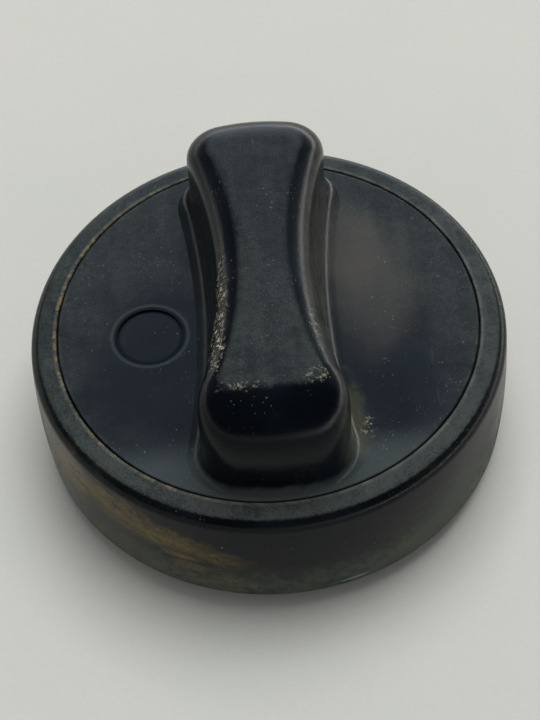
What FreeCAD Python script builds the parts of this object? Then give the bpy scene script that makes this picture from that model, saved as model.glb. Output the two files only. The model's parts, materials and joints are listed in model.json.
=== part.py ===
import FreeCAD, Part
import math
import os
import Sketcher

# Fuel filler cap, bayonet type, standing on its underside.
# Millimetres, +Z up, origin under the middle of the cap on the plane it rests on, handle along Y.

PART_FOLDER = "parts"

# Driving sizes, and sizes that follow from them by a formula.
# Radii and heights are in millimetres, heights are above the rest plane.
SIZES = [
    # outer ring
    ("rim_top", 25.4),
    ("skirt_bottom", 4.0),
    ("skirt_radius", 39.9),
    ("skirt_taper", 0.4),
    ("skirt_bow_radius", 130.0),
    ("skirt_wall", 2.5),
    ("skirt_draft", 0.4),
    ("rim_rounding", 2.2),
    ("rim_foot_rounding", 0.6),
    ("land_width", 4.8),
    ("land_fall", 0.25),
    ("joint_radius", "skirt_radius - land_width"),
    ("joint_gap", 0.25),
    ("joint_rounding", 0.22),
    ("shelf_width", 3.9),
    ("shelf_bore", "joint_radius - shelf_width"),
    ("shelf_thickness", 2.4),
    ("gusset_count", 16),
    ("gusset_thickness", 1.4),
    ("gusset_height", 10.0),
    # grip cover
    ("disc_thickness", 2.4),
    ("spigot_wall", 1.4),
    ("spigot_clearance", 0.15),
    ("handle_height", 17.6),
    ("handle_end_gap", 1.4),
    ("handle_reach", "joint_radius - handle_end_gap"),
    ("handle_end_half", 11.95),
    ("handle_waist_half", 9.6),
    ("handle_corner", 6.6),
    ("handle_end_draft", 0.5),
    ("handle_waist_draft", 2.2),
    ("handle_reach_draft", 0.4),
    ("handle_side_rounding", 5.0),
    ("handle_nose_rounding", 8.0),
    ("handle_foot_blend", 3.0),
    ("handle_foot_sink", 0.12),
    ("handle_nose_blend", 0.5),
    ("handle_wall", 2.4),
    ("handle_end_wall", 4.6),
    ("hollow_rounding", 3.0),
    ("blank_x", 19.6),
    ("blank_y", 1.3),
    ("blank_radius", 5.5),
    ("blank_depth", 0.35),
    # core
    ("flange_lap", 1.8),
    ("flange_radius", "shelf_bore + flange_lap"),
    ("flange_thickness", 2.0),
    ("flange_boss_radius", 4.0),
    ("tube_share", 0.4887),
    ("tube_radius", "skirt_radius * tube_share"),
    ("tube_wall", 2.0),
    ("tube_bottom", 3.0),
    ("moat_width", 2.7),
    ("chamber_radius", "tube_radius - tube_wall - moat_width"),
    ("chamber_wall", 1.6),
    ("seat_bore", "chamber_radius - chamber_wall"),
    ("seat_step", 1.0),
    ("chamber_bore", "seat_bore - seat_step"),
    ("seat_shoulder", 8.0),
    ("rib_count", 8),
    ("rib_thickness", 1.2),
    ("plate_boss_radius", 2.3),
    ("plate_screw_circle", "tube_radius - tube_wall - moat_width / 2"),
    ("plate_screw_place", "plate_screw_circle * sqrt(0.5)"),
    ("port_width", 3.6),
    ("port_height", 2.4),
    ("port_gap", 0.8),
    ("spring_spigot_gap", 0.5),
    ("spring_spigot_wall", 1.1),
    ("spring_spigot_depth", 1.2),
    # cover screws and their bosses
    ("cover_screw_x", 4.6),
    ("cover_screw_gap", 3.1),
    ("cover_screw_y", "tube_radius + cover_screw_gap"),
    ("cover_boss_radius", 3.0),
    ("cover_boss_height", "disc_thickness + handle_height - handle_wall / 2"),
    ("cover_screw_shank", 1.5),
    ("cover_screw_length", 12.0),
    ("cover_head_radius", 2.9),
    ("cover_head_height", 1.8),
    ("screw_clearance", 0.05),
    ("head_clearance", 0.3),
    # bayonet plate
    ("plate_thickness", 1.5),
    ("plate_edge_gap", 0.2),
    ("dish_gap", 1.4),
    ("dish_radius", "chamber_bore - dish_gap"),
    ("dish_depth", 1.5),
    ("ear_length", 5.1),
    ("ear_reach", "tube_radius + ear_length"),
    ("ear_half_width", 7.5),
    ("ear_corner", 2.5),
    ("vent_hole_radius", 1.6),
    ("vent_hole_inset", 3.8),
    ("vent_hole_circle", "dish_radius - vent_hole_inset"),
    ("vent_hole_count", 6),
    ("plate_screw_shank", 1.2),
    ("plate_screw_length", 8.0),
    ("plate_head_radius", 2.2),
    ("plate_head_height", 1.1),
    # sliding seal
    ("gasket_height", 8.5),
    ("gasket_thickness", 3.0),
    ("gasket_gap", 0.6),
    ("gasket_inner", "ear_reach + gasket_gap"),
    ("gasket_width", 5.8),
    ("gasket_outer", "gasket_inner + gasket_width"),
    ("gasket_groove_width", 1.2),
    ("gasket_groove_depth", 0.5),
    ("seal_plate_thickness", 1.5),
    ("seal_plate_bore_clearance", 0.3),
    ("seal_hub_wall", 1.2),
    ("seal_hub_height", 1.0),
    ("seal_lip_wall", 0.8),
    ("seal_lip_height", 1.4),
    ("snap_ring_depth", 0.7),
    ("snap_ring_width", 2.2),
    ("snap_ring_thickness", 1.0),
    ("snap_ring_opening", 6.0),
    ("washer_thickness", 0.8),
    ("washer_width", 8.1),
    ("washer_outer", "tube_radius + washer_width"),
    ("washer_clearance", 0.1),
    ("main_wire", 0.7),
    ("main_turns", 2.5),
    ("main_top_gap", 3.1),
    ("main_top_radius", "tube_radius + main_top_gap"),
    ("main_bottom_inset", 2.8),
    ("main_bottom_radius", "gasket_outer - main_bottom_inset"),
    # pressure valve
    ("valve_plate_gap", 1.6),
    ("valve_plate_radius", "chamber_bore - valve_plate_gap"),
    ("valve_plate_thickness", 1.2),
    ("valve_plate_rim", 0.8),
    ("valve_plate_rim_height", 1.2),
    ("seat_lip_inset", 2.6),
    ("seat_lip_radius", "valve_plate_radius - seat_lip_inset"),
    ("seat_lip_width", 1.0),
    ("seat_lip_height", 1.0),
    ("seat_ledge", 0.8),
    ("seat_opening", "seat_lip_radius - seat_ledge"),
    ("seat_thickness", 2.0),
    ("seat_wall", 2.6),
    ("seat_clearance", 0.1),
    ("o_ring_section", 0.58),
    ("o_ring_groove_depth", 1.2),
    ("o_ring_groove_height", 1.4),
    ("o_ring_groove_rise", 1.6),
    ("valve_seal_overlap", 0.5),
    ("valve_seal_inner", "seat_opening - valve_seal_overlap"),
    ("valve_seal_inset", 0.6),
    ("valve_seal_outer", "valve_plate_radius - valve_seal_inset"),
    ("valve_seal_thickness", 1.2),
    ("pressure_wire", 0.4),
    ("pressure_turns", 4.0),
    ("pressure_spring_inset", 2.0),
    ("pressure_spring_radius", "valve_plate_radius - pressure_spring_inset"),
    # vacuum valve
    ("stem_radius", 1.3),
    ("stem_clearance", 0.1),
    ("stem_top", 16.4),
    ("vacuum_disc_gap", 1.2),
    ("vacuum_disc_radius", "seat_opening - vacuum_disc_gap"),
    ("vacuum_disc_thickness", 1.0),
    ("vacuum_seal_thickness", 1.0),
    ("vacuum_seal_inner", 1.9),
    ("vacuum_seal_inset", 0.4),
    ("vacuum_seal_outer", "vacuum_disc_radius - vacuum_seal_inset"),
    ("vacuum_port_radius", 0.8),
    ("vacuum_port_circle", "(vacuum_seal_inner + vacuum_seal_outer) / 2"),
    ("vacuum_port_count", 6),
    ("clip_groove_radius", 0.9),
    ("clip_thickness", 0.5),
    ("clip_inset", 1.0),
    ("clip_radius", 3.4),
    ("vacuum_wire", 0.25),
    ("vacuum_turns", 4.0),
    ("vacuum_spring_radius", 2.3),
]

document = FreeCAD.newDocument("fuel_filler_cap")
sheet = document.addObject("Spreadsheet::Sheet", "Sizes")


class Size:
    # A length with the formula that ties it to the sheet.

    def __init__(self, value, formula):
        self.value = value
        self.formula = formula

    def __add__(self, other):
        other = as_size(other)
        return Size(self.value + other.value, f"({self.formula} + {other.formula})")

    def __sub__(self, other):
        other = as_size(other)
        return Size(self.value - other.value, f"({self.formula} - {other.formula})")

    def __mul__(self, other):
        other = as_size(other)
        return Size(self.value * other.value, f"({self.formula} * {other.formula})")

    def __truediv__(self, other):
        other = as_size(other)
        return Size(self.value / other.value, f"({self.formula} / {other.formula})")

    def __neg__(self):
        return Size(-self.value, f"(0 - {self.formula})")


def as_size(number):
    if isinstance(number, Size):
        return number
    return Size(float(number), repr(float(number)))


def fill_sheet():
    named = {}
    for row, (name, value) in enumerate(SIZES, start=1):
        sheet.set(f"A{row}", name)
        sheet.set(f"B{row}", f"={value}" if isinstance(value, str) else str(value))
        sheet.setAlias(f"B{row}", name)
        document.recompute()
        named[name] = Size(float(sheet.get(name)), f"Sizes.{name}")
    return named


S = fill_sheet()

# Heights that follow from the sizes above.
RIM_TOP = S["rim_top"]
SHELF_TOP = RIM_TOP - S["disc_thickness"]
SHELF_BOTTOM = SHELF_TOP - S["shelf_thickness"]
FLANGE_TOP = SHELF_BOTTOM
FLANGE_BOTTOM = FLANGE_TOP - S["flange_thickness"]
WASHER_BOTTOM = FLANGE_BOTTOM - S["washer_thickness"]
TUBE_BOTTOM = S["tube_bottom"]
PLATE_BOTTOM = TUBE_BOTTOM - S["plate_thickness"]
DISH_BOTTOM = PLATE_BOTTOM - S["dish_depth"]
GASKET_BOTTOM = S["gasket_height"]
GASKET_TOP = GASKET_BOTTOM + S["gasket_thickness"]
SEAL_PLATE_TOP = GASKET_TOP + S["seal_plate_thickness"]
SEAT_TOP = S["seat_shoulder"]
LIP_TOP = SEAT_TOP + S["seat_lip_height"]
VALVE_PLATE_BOTTOM = LIP_TOP + S["valve_seal_thickness"]
VALVE_PLATE_TOP = VALVE_PLATE_BOTTOM + S["valve_plate_thickness"]
VACUUM_DISC_TOP = VALVE_PLATE_BOTTOM - S["vacuum_seal_thickness"]
VACUUM_DISC_BOTTOM = VACUUM_DISC_TOP - S["vacuum_disc_thickness"]
CLIP_BOTTOM = S["stem_top"] - S["clip_inset"]

# How deep one feature reaches into its neighbour of the same piece, so that the two join.
BITE = 0.5
TOUCH = 1e-4
# A screw's cross recess, as shares of its head.
RECESS_WIDTH = 0.45
RECESS_DEPTH = 0.6
# Angles on a quarter round at which the handle and its hollow are drawn.
FOOT_ANGLES = (90, 55, 25, 0)
TOP_ANGLES = (0, 22, 42, 58, 74, 90)
HOLLOW_ANGLES = (0, 45, 90)
# How much of a rounding the outline's corners give up as it comes in.
FOOT_CORNER = 0.3
TOP_CORNER = 0.8
HOLLOW_CORNER = 0.6
WALL_CORNER = 0.5
# A dished pressing keeps its thickness on the slope when the inner bend moves in by this share of it.
BEND_SHARE = 0.4


# Sketch helpers

def new_body(label):
    body = document.addObject("PartDesign::Body", label)
    body.Label = label
    return body


def origin_plane(body, role):
    for feature in body.Origin.OriginFeatures:
        if feature.Role == role:
            return feature
    raise ValueError(role)


def new_sketch(body, name, role, height=None):
    sketch = body.newObject("Sketcher::SketchObject", name)
    sketch.AttachmentSupport = [(origin_plane(body, role), "")]
    sketch.MapMode = "FlatFace"
    if height is not None:
        sketch.setExpression("AttachmentOffset.Base.z", as_size(height).formula)
    return sketch


def fix_distance(sketch, kind, geometry, point, size):
    # Ties one coordinate of a point to the sheet, measured from the sketch's origin.
    size = as_size(size)
    if abs(size.value) < TOUCH:
        axis = -2 if kind == "DistanceX" else -1
        sketch.addConstraint(Sketcher.Constraint("PointOnObject", geometry, point, axis))
        return
    if size.value > 0:
        number = sketch.addConstraint(Sketcher.Constraint(kind, -1, 1, geometry, point, size.value))
        sketch.setExpression(f"Constraints[{number}]", size.formula)
    else:
        number = sketch.addConstraint(Sketcher.Constraint(kind, geometry, point, -1, 1, -size.value))
        sketch.setExpression(f"Constraints[{number}]", (-size).formula)


def fix_radius(sketch, geometry, size):
    number = sketch.addConstraint(Sketcher.Constraint("Radius", geometry, size.value))
    sketch.setExpression(f"Constraints[{number}]", size.formula)


def bowed_side(start, end, radius):
    # Arc from start to end that bulges to the right of the way along it.
    chord = end - start
    middle = (start + end) * 0.5
    left = FreeCAD.Vector(-chord.y, chord.x, 0).normalize()
    centre = middle + left * math.sqrt(radius ** 2 - (chord.Length / 2) ** 2)
    first = math.atan2(start.y - centre.y, start.x - centre.x)
    last = math.atan2(end.y - centre.y, end.x - centre.x)
    circle = Part.Circle(centre, FreeCAD.Vector(0, 0, 1), radius)
    return Part.ArcOfCircle(circle, first, last)


def draw_profile(sketch, corners, bows=None):
    # Closed outline through the corners. bows gives the radius of a side that is an arc.
    bows = bows or {}
    points = [FreeCAD.Vector(as_size(x).value, as_size(y).value, 0) for x, y in corners]
    count = len(points)
    for side in range(count):
        start = points[side]
        end = points[(side + 1) % count]
        if side in bows:
            line = sketch.addGeometry(bowed_side(start, end, bows[side].value))
            fix_radius(sketch, line, bows[side])
        else:
            line = sketch.addGeometry(Part.LineSegment(start, end))
    for side in range(count):
        sketch.addConstraint(Sketcher.Constraint("Coincident", side, 2, (side + 1) % count, 1))
        fix_distance(sketch, "DistanceX", side, 1, corners[side][0])
        fix_distance(sketch, "DistanceY", side, 1, corners[side][1])


def draw_circles(sketch, centres, radius):
    for x, y in centres:
        place = FreeCAD.Vector(as_size(x).value, as_size(y).value, 0)
        circle = sketch.addGeometry(Part.Circle(place, FreeCAD.Vector(0, 0, 1), radius.value))
        fix_radius(sketch, circle, radius)
        fix_distance(sketch, "DistanceX", circle, 3, x)
        fix_distance(sketch, "DistanceY", circle, 3, y)


# Feature helpers

def revolve(body, name, corners, bows=None, cut=False):
    sketch = new_sketch(body, name + "_profile", "XZ_Plane")
    draw_profile(sketch, corners, bows)
    kind = "PartDesign::Groove" if cut else "PartDesign::Revolution"
    feature = body.newObject(kind, name)
    feature.Profile = sketch
    feature.ReferenceAxis = (sketch, ["V_Axis"])
    feature.Angle = 360
    return feature


def pad_up(body, name, sketch, length):
    feature = body.newObject("PartDesign::Pad", name)
    feature.Profile = sketch
    feature.setExpression("Length", as_size(length).formula)
    return feature


def pad_across(body, name, sketch, length):
    feature = pad_up(body, name, sketch, length)
    feature.Midplane = True
    return feature


def pocket_up(body, name, sketch, depth):
    # Cuts from the sketch upwards.
    feature = body.newObject("PartDesign::Pocket", name)
    feature.Profile = sketch
    feature.setExpression("Length", as_size(depth).formula)
    feature.Reversed = True
    return feature


def pocket_across(body, name, sketch, depth):
    feature = pocket_up(body, name, sketch, depth)
    feature.Midplane = True
    return feature


def polar(body, name, feature, count, sweep=360):
    pattern = body.newObject("PartDesign::PolarPattern", name)
    pattern.Originals = [feature]
    pattern.Axis = (feature.Profile[0], ["V_Axis" if is_upright(feature) else "N_Axis"])
    pattern.Angle = sweep
    pattern.setExpression("Occurrences", count.formula)
    body.Tip = pattern
    return pattern


def is_upright(feature):
    return feature.Profile[0].AttachmentSupport[0][0].Role != "XY_Plane"


def ring_edges(feature, radius, height):
    # Names of the full round edges at this radius and height.
    found = []
    for number, edge in enumerate(feature.Shape.Edges, start=1):
        curve = edge.Curve
        if not isinstance(curve, Part.Circle):
            continue
        near_radius = abs(curve.Radius - as_size(radius).value) < 0.01
        near_height = abs(curve.Center.z - as_size(height).value) < 0.01
        if near_radius and near_height:
            found.append(f"Edge{number}")
    if not found:
        raise ValueError(f"no round edge on {feature.Name}")
    return found


def upright_edges(feature, x, y):
    # Names of the vertical edges that stand at (x, y) or its mirrored places.
    found = []
    for number, edge in enumerate(feature.Shape.Edges, start=1):
        low = edge.Vertexes[0].Point
        high = edge.Vertexes[-1].Point
        upright = abs(low.x - high.x) < 0.01 and abs(low.y - high.y) < 0.01 and abs(low.z - high.z) > 0.1
        if upright and abs(abs(low.x) - x.value) < 0.01 and abs(abs(low.y) - y.value) < 0.01:
            found.append(f"Edge{number}")
    if not found:
        raise ValueError(f"no upright edge on {feature.Name}")
    return found


def round_off(body, name, base, edges, radius):
    feature = body.newObject("PartDesign::Fillet", name)
    feature.Base = (base, edges)
    feature.setExpression("Radius", radius.formula)
    document.recompute()
    return feature


def loft_through(body, kind, name, sections):
    feature = body.newObject(kind, name)
    feature.Profile = (sections[0], [""])
    feature.Sections = [(section, [""]) for section in sections[1:]]
    return feature


def four_places(x, y):
    return [(x, y), (-x, y), (-x, -y), (x, -y)]


# Outer ring

def make_skirt_ring():
    body = new_body("skirt_ring")
    outer = S["skirt_radius"]
    inner = outer - S["skirt_wall"]
    inner_top = inner - S["skirt_draft"]
    mouth = S["joint_radius"] + S["joint_gap"] / 2
    rim = outer - S["skirt_taper"]
    shell = revolve(body, "shell", [
        (inner, S["skirt_bottom"]),
        (outer, S["skirt_bottom"]),
        (rim, RIM_TOP - S["land_fall"]),
        (mouth, RIM_TOP),
        (mouth, SHELF_TOP),
        (S["shelf_bore"], SHELF_TOP),
        (S["shelf_bore"], SHELF_BOTTOM),
        (inner_top, SHELF_BOTTOM),
    ], {1: S["skirt_bow_radius"]})
    document.recompute()
    top = round_off(body, "rim_edge", shell, ring_edges(shell, rim, RIM_TOP - S["land_fall"]),
                    S["rim_rounding"])
    joint = round_off(body, "joint_edge", top, ring_edges(top, mouth, RIM_TOP), S["joint_rounding"])
    round_off(body, "foot_edge", joint, ring_edges(joint, outer, S["skirt_bottom"]), S["rim_foot_rounding"])
    gusset_root = S["flange_radius"] + BITE
    sketch = new_sketch(body, "gusset_profile", "XZ_Plane")
    draw_profile(sketch, [
        (gusset_root, SHELF_BOTTOM),
        (inner, SHELF_BOTTOM - S["gusset_height"]),
        (inner + BITE, SHELF_BOTTOM - S["gusset_height"]),
        (inner + BITE, SHELF_BOTTOM + BITE),
        (gusset_root, SHELF_BOTTOM + BITE),
    ])
    gusset = pad_across(body, "gusset", sketch, S["gusset_thickness"])
    document.recompute()
    polar(body, "gussets", gusset, S["gusset_count"])
    return body


# Handle outline at one height: two waisted flanks, four corners and two ends that follow the disc.

def draw_handle_outline(sketch, waist, end_half, reach, corner):
    corner_x = (end_half - corner).value
    radius = corner.value
    span = reach.value - radius
    corner_y = math.sqrt(span ** 2 - corner_x ** 2)
    offset = waist.value - corner_x
    flank = (offset ** 2 + corner_y ** 2 - radius ** 2) / (2 * (radius - offset))
    flank_x = waist.value + flank
    end_angle = math.atan2(corner_y, corner_x)
    flank_angle = math.atan2(corner_y, flank_x - corner_x)

    def arc(x, y, size, first, last):
        circle = Part.Circle(FreeCAD.Vector(x, y, 0), FreeCAD.Vector(0, 0, 1), size)
        return sketch.addGeometry(Part.ArcOfCircle(circle, first, last))

    half_turn = math.pi
    right = arc(flank_x, 0, flank, half_turn - flank_angle, half_turn + flank_angle)
    upper_right = arc(corner_x, corner_y, radius, -flank_angle, end_angle)
    upper = arc(0, 0, reach.value, end_angle, half_turn - end_angle)
    upper_left = arc(-corner_x, corner_y, radius, half_turn - end_angle, half_turn + flank_angle)
    left = arc(-flank_x, 0, flank, -flank_angle, flank_angle)
    lower_left = arc(-corner_x, -corner_y, radius, half_turn - flank_angle, half_turn + end_angle)
    lower = arc(0, 0, reach.value, half_turn + end_angle, 2 * half_turn - end_angle)
    lower_right = arc(corner_x, -corner_y, radius, -end_angle, flank_angle)

    joins = [
        (right, 1, upper_right, 1), (upper_right, 2, upper, 1), (upper, 2, upper_left, 1),
        (upper_left, 2, left, 2), (left, 1, lower_left, 1), (lower_left, 2, lower, 1),
        (lower, 2, lower_right, 1), (lower_right, 2, right, 2),
    ]
    for first, first_end, second, second_end in joins:
        sketch.addConstraint(Sketcher.Constraint("Tangent", first, first_end, second, second_end))
    for end in (upper, lower):
        sketch.addConstraint(Sketcher.Constraint("Coincident", end, 3, -1, 1))
        fix_radius(sketch, end, reach)
    for piece, side in ((upper_right, 1), (lower_right, 1), (upper_left, -1), (lower_left, -1)):
        fix_radius(sketch, piece, corner)
        fix_distance(sketch, "DistanceX", piece, 3, (end_half - corner) * side)
    for piece, side in ((right, 1), (left, -1)):
        mark = sketch.addGeometry(Part.Point(FreeCAD.Vector(side * waist.value, 0, 0)), True)
        fix_distance(sketch, "DistanceX", mark, 1, waist * side)
        fix_distance(sketch, "DistanceY", mark, 1, 0)
        sketch.addConstraint(Sketcher.Constraint("PointOnObject", mark, 1, piece))


def handle_section(body, name, height, side_inset, nose_inset, corner_inset):
    # height is above the disc. The insets are taken off the drafted walls.
    share = height / S["handle_height"]
    waist = S["handle_waist_half"] - S["handle_waist_draft"] * share - side_inset
    end_half = S["handle_end_half"] - S["handle_end_draft"] * share - side_inset
    reach = S["handle_reach"] - S["handle_reach_draft"] * share - nose_inset
    sketch = new_sketch(body, name, "XY_Plane", RIM_TOP + height)
    draw_handle_outline(sketch, waist, end_half, reach, S["handle_corner"] - corner_inset)
    return sketch


def fillet_drop(angle):
    # Share of a quarter round that is left above, and how far it has come in, at this angle.
    turn = math.radians(angle)
    return 1 - math.sin(turn), 1 - math.cos(turn)


def handle_sections(body):
    side = S["handle_side_rounding"]
    nose = S["handle_nose_rounding"]
    blend = S["handle_foot_blend"]
    sections = []
    for angle in FOOT_ANGLES:
        rise, inset = fillet_drop(angle)
        height = blend * rise - S["handle_foot_sink"]
        sections.append(handle_section(body, f"foot_{angle}", height, -(blend * inset),
                                       -(S["handle_nose_blend"] * inset), -(blend * (inset * FOOT_CORNER))))
    nose_start = S["handle_height"] - nose
    sections.append(handle_section(body, "wall", nose_start, as_size(0), as_size(0), as_size(0)))
    for angle in TOP_ANGLES:
        rise, inset = fillet_drop(angle)
        height = S["handle_height"] - side * rise
        nose_rise = side.value * rise / nose.value
        nose_inset = 1 - math.sqrt(1 - (1 - nose_rise) ** 2)
        sections.append(handle_section(body, f"top_{angle}", height, side * inset,
                                       nose * nose_inset, side * (inset * TOP_CORNER)))
    return sections


def hollow_sections(body):
    # Outline of the hollow: the walls' thickness inside the handle, closed under its roof.
    rounding = S["hollow_rounding"]
    roof = S["handle_height"] - S["handle_wall"]
    spare = S["handle_end_wall"] - S["handle_wall"]
    start = -(S["disc_thickness"] + S["shelf_thickness"])
    heights = [("hollow_mouth", start, 0.0), ("hollow_wall", roof - rounding * 2, 0.0)]
    for angle in HOLLOW_ANGLES:
        rise, inset = fillet_drop(angle)
        heights.append((f"hollow_{angle}", roof - rounding * rise, inset))
    sections = []
    for name, height, inset in heights:
        inward = S["handle_wall"] + rounding * inset
        corner_inset = S["handle_wall"] * WALL_CORNER + rounding * (inset * HOLLOW_CORNER)
        sections.append(handle_section(body, name, height, inward, inward + spare, corner_inset))
    return sections


def make_grip_cover():
    body = new_body("grip_cover")
    edge = S["joint_radius"] - S["joint_gap"] / 2
    disc = revolve(body, "disc", [(0, SHELF_TOP), (edge, SHELF_TOP), (edge, RIM_TOP), (0, RIM_TOP)])
    document.recompute()
    round_off(body, "disc_edge", disc, ring_edges(disc, edge, RIM_TOP), S["joint_rounding"])
    sections = handle_sections(body)
    loft_through(body, "PartDesign::AdditiveLoft", "handle", sections)
    document.recompute()
    spigot_outer = S["shelf_bore"] - S["spigot_clearance"]
    spigot_inner = spigot_outer - S["spigot_wall"]
    revolve(body, "spigot", [
        (spigot_inner, FLANGE_TOP + S["head_clearance"]), (spigot_outer, FLANGE_TOP + S["head_clearance"]),
        (spigot_outer, SHELF_TOP + BITE), (spigot_inner, SHELF_TOP + BITE),
    ])
    sections = hollow_sections(body)
    loft_through(body, "PartDesign::SubtractiveLoft", "hollow", sections)
    document.recompute()
    places = four_places(S["cover_screw_x"], S["cover_screw_y"])
    sketch = new_sketch(body, "boss_outlines", "XY_Plane", SHELF_TOP)
    draw_circles(sketch, places, S["cover_boss_radius"])
    pad_up(body, "bosses", sketch, S["cover_boss_height"])
    document.recompute()
    sketch = new_sketch(body, "pilot_outlines", "XY_Plane", SHELF_TOP)
    draw_circles(sketch, places, S["cover_screw_shank"] + S["screw_clearance"])
    pocket_up(body, "pilot_holes", sketch, S["cover_screw_length"])
    sketch = new_sketch(body, "blank_outline", "XY_Plane", RIM_TOP - S["blank_depth"])
    draw_circles(sketch, [(-S["blank_x"], -S["blank_y"])], S["blank_radius"])
    pocket_up(body, "blank", sketch, S["blank_depth"] + BITE)
    document.recompute()
    return body


# Core

def make_core_body():
    body = new_body("core_body")
    tube = S["tube_radius"]
    tube_inner = tube - S["tube_wall"]
    revolve(body, "web_and_chamber", [
        (0, FLANGE_BOTTOM), (S["chamber_bore"], FLANGE_BOTTOM), (S["chamber_bore"], SEAT_TOP),
        (S["seat_bore"], SEAT_TOP), (S["seat_bore"], TUBE_BOTTOM),
        (S["chamber_radius"], TUBE_BOTTOM), (S["chamber_radius"], FLANGE_BOTTOM),
        (tube_inner, FLANGE_BOTTOM), (tube_inner, TUBE_BOTTOM), (tube, TUBE_BOTTOM),
        (tube, FLANGE_BOTTOM), (S["flange_radius"], FLANGE_BOTTOM), (S["flange_radius"], FLANGE_TOP),
        (0, FLANGE_TOP),
    ])
    document.recompute()
    # The ribs stand between the ports and the screw bosses.
    sketch = new_sketch(body, "rib_outline", "XZ_Plane")
    upright = FreeCAD.Vector(0, 1, 0)
    turn = FreeCAD.Rotation(upright, 180 / S["rib_count"].value)
    sketch.AttachmentOffset = FreeCAD.Placement(FreeCAD.Vector(), turn)
    draw_profile(sketch, [
        (S["chamber_radius"] - BITE, TUBE_BOTTOM + BITE * 2),
        (tube_inner + BITE, TUBE_BOTTOM + BITE * 2),
        (tube_inner + BITE, FLANGE_BOTTOM + BITE),
        (S["chamber_radius"] - BITE, FLANGE_BOTTOM + BITE),
    ])
    rib = pad_across(body, "rib", sketch, S["rib_thickness"])
    document.recompute()
    polar(body, "ribs", rib, S["rib_count"])
    document.recompute()
    places = four_places(S["plate_screw_place"], S["plate_screw_place"])
    sketch = new_sketch(body, "plate_boss_outlines", "XY_Plane", TUBE_BOTTOM)
    draw_circles(sketch, places, S["plate_boss_radius"])
    pad_up(body, "plate_bosses", sketch, FLANGE_BOTTOM - TUBE_BOTTOM + BITE)
    document.recompute()
    sketch = new_sketch(body, "plate_pilot_outlines", "XY_Plane", TUBE_BOTTOM)
    draw_circles(sketch, places, S["plate_screw_shank"] + S["screw_clearance"])
    pocket_up(body, "plate_pilot_holes", sketch, S["plate_screw_length"])
    document.recompute()
    # Ports let the gas out of the chamber above the seal.
    port_top = FLANGE_BOTTOM - S["port_gap"]
    for role, name in (("XZ_Plane", "ports_y"), ("YZ_Plane", "ports_x")):
        sketch = new_sketch(body, name + "_outline", role)
        half = S["port_width"] / 2
        draw_profile(sketch, [
            (-half, port_top - S["port_height"]), (half, port_top - S["port_height"]),
            (half, port_top), (-half, port_top),
        ])
        pocket_across(body, name, sketch, tube * 2 + BITE * 4)
        document.recompute()
    # Spring spigot under the web.
    spigot_outer = S["pressure_spring_radius"] - S["pressure_wire"] - S["spring_spigot_gap"]
    revolve(body, "spring_spigot", [
        (spigot_outer - S["spring_spigot_wall"], FLANGE_BOTTOM - S["spring_spigot_depth"]),
        (spigot_outer, FLANGE_BOTTOM - S["spring_spigot_depth"]),
        (spigot_outer, FLANGE_BOTTOM + BITE),
        (spigot_outer - S["spring_spigot_wall"], FLANGE_BOTTOM + BITE),
    ])
    document.recompute()
    # Bosses on the flange take the cover screws' heads from below.
    places = four_places(S["cover_screw_x"], S["cover_screw_y"])
    sketch = new_sketch(body, "flange_boss_outlines", "XY_Plane", FLANGE_TOP - BITE)
    draw_circles(sketch, places, S["flange_boss_radius"])
    pad_up(body, "flange_bosses", sketch, SHELF_TOP - FLANGE_TOP + BITE)
    document.recompute()
    sketch = new_sketch(body, "head_outlines", "XY_Plane", FLANGE_BOTTOM)
    draw_circles(sketch, places, S["cover_head_radius"] + S["head_clearance"])
    pocket_up(body, "head_recesses", sketch, S["cover_head_height"])
    document.recompute()
    sketch = new_sketch(body, "through_outlines", "XY_Plane", FLANGE_BOTTOM)
    draw_circles(sketch, places, S["cover_screw_shank"] + S["screw_clearance"])
    pocket_up(body, "through_holes", sketch, SHELF_TOP - FLANGE_BOTTOM + BITE)
    document.recompute()
    groove_radius = tube - S["snap_ring_depth"]
    revolve(body, "snap_groove", [
        (groove_radius, GASKET_TOP - S["snap_ring_thickness"]),
        (tube + BITE, GASKET_TOP - S["snap_ring_thickness"]),
        (tube + BITE, GASKET_TOP), (groove_radius, GASKET_TOP),
    ], cut=True)
    document.recompute()
    return body


def make_screws(label, places, head_bottom, head_radius, head_height, shank_radius, length):
    body = new_body(label)
    sketch = new_sketch(body, "head_outlines", "XY_Plane", head_bottom)
    draw_circles(sketch, places, head_radius)
    pad_up(body, "heads", sketch, head_height)
    document.recompute()
    sketch = new_sketch(body, "shank_outlines", "XY_Plane", head_bottom)
    draw_circles(sketch, places, shank_radius)
    pad_up(body, "shanks", sketch, head_height + length)
    document.recompute()
    sketch = new_sketch(body, "drive_outlines", "XY_Plane", head_bottom)
    draw_circles(sketch, places, head_radius * RECESS_WIDTH)
    pocket_up(body, "drive_recesses", sketch, head_height * RECESS_DEPTH)
    document.recompute()
    return body


# Bayonet plate

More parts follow.
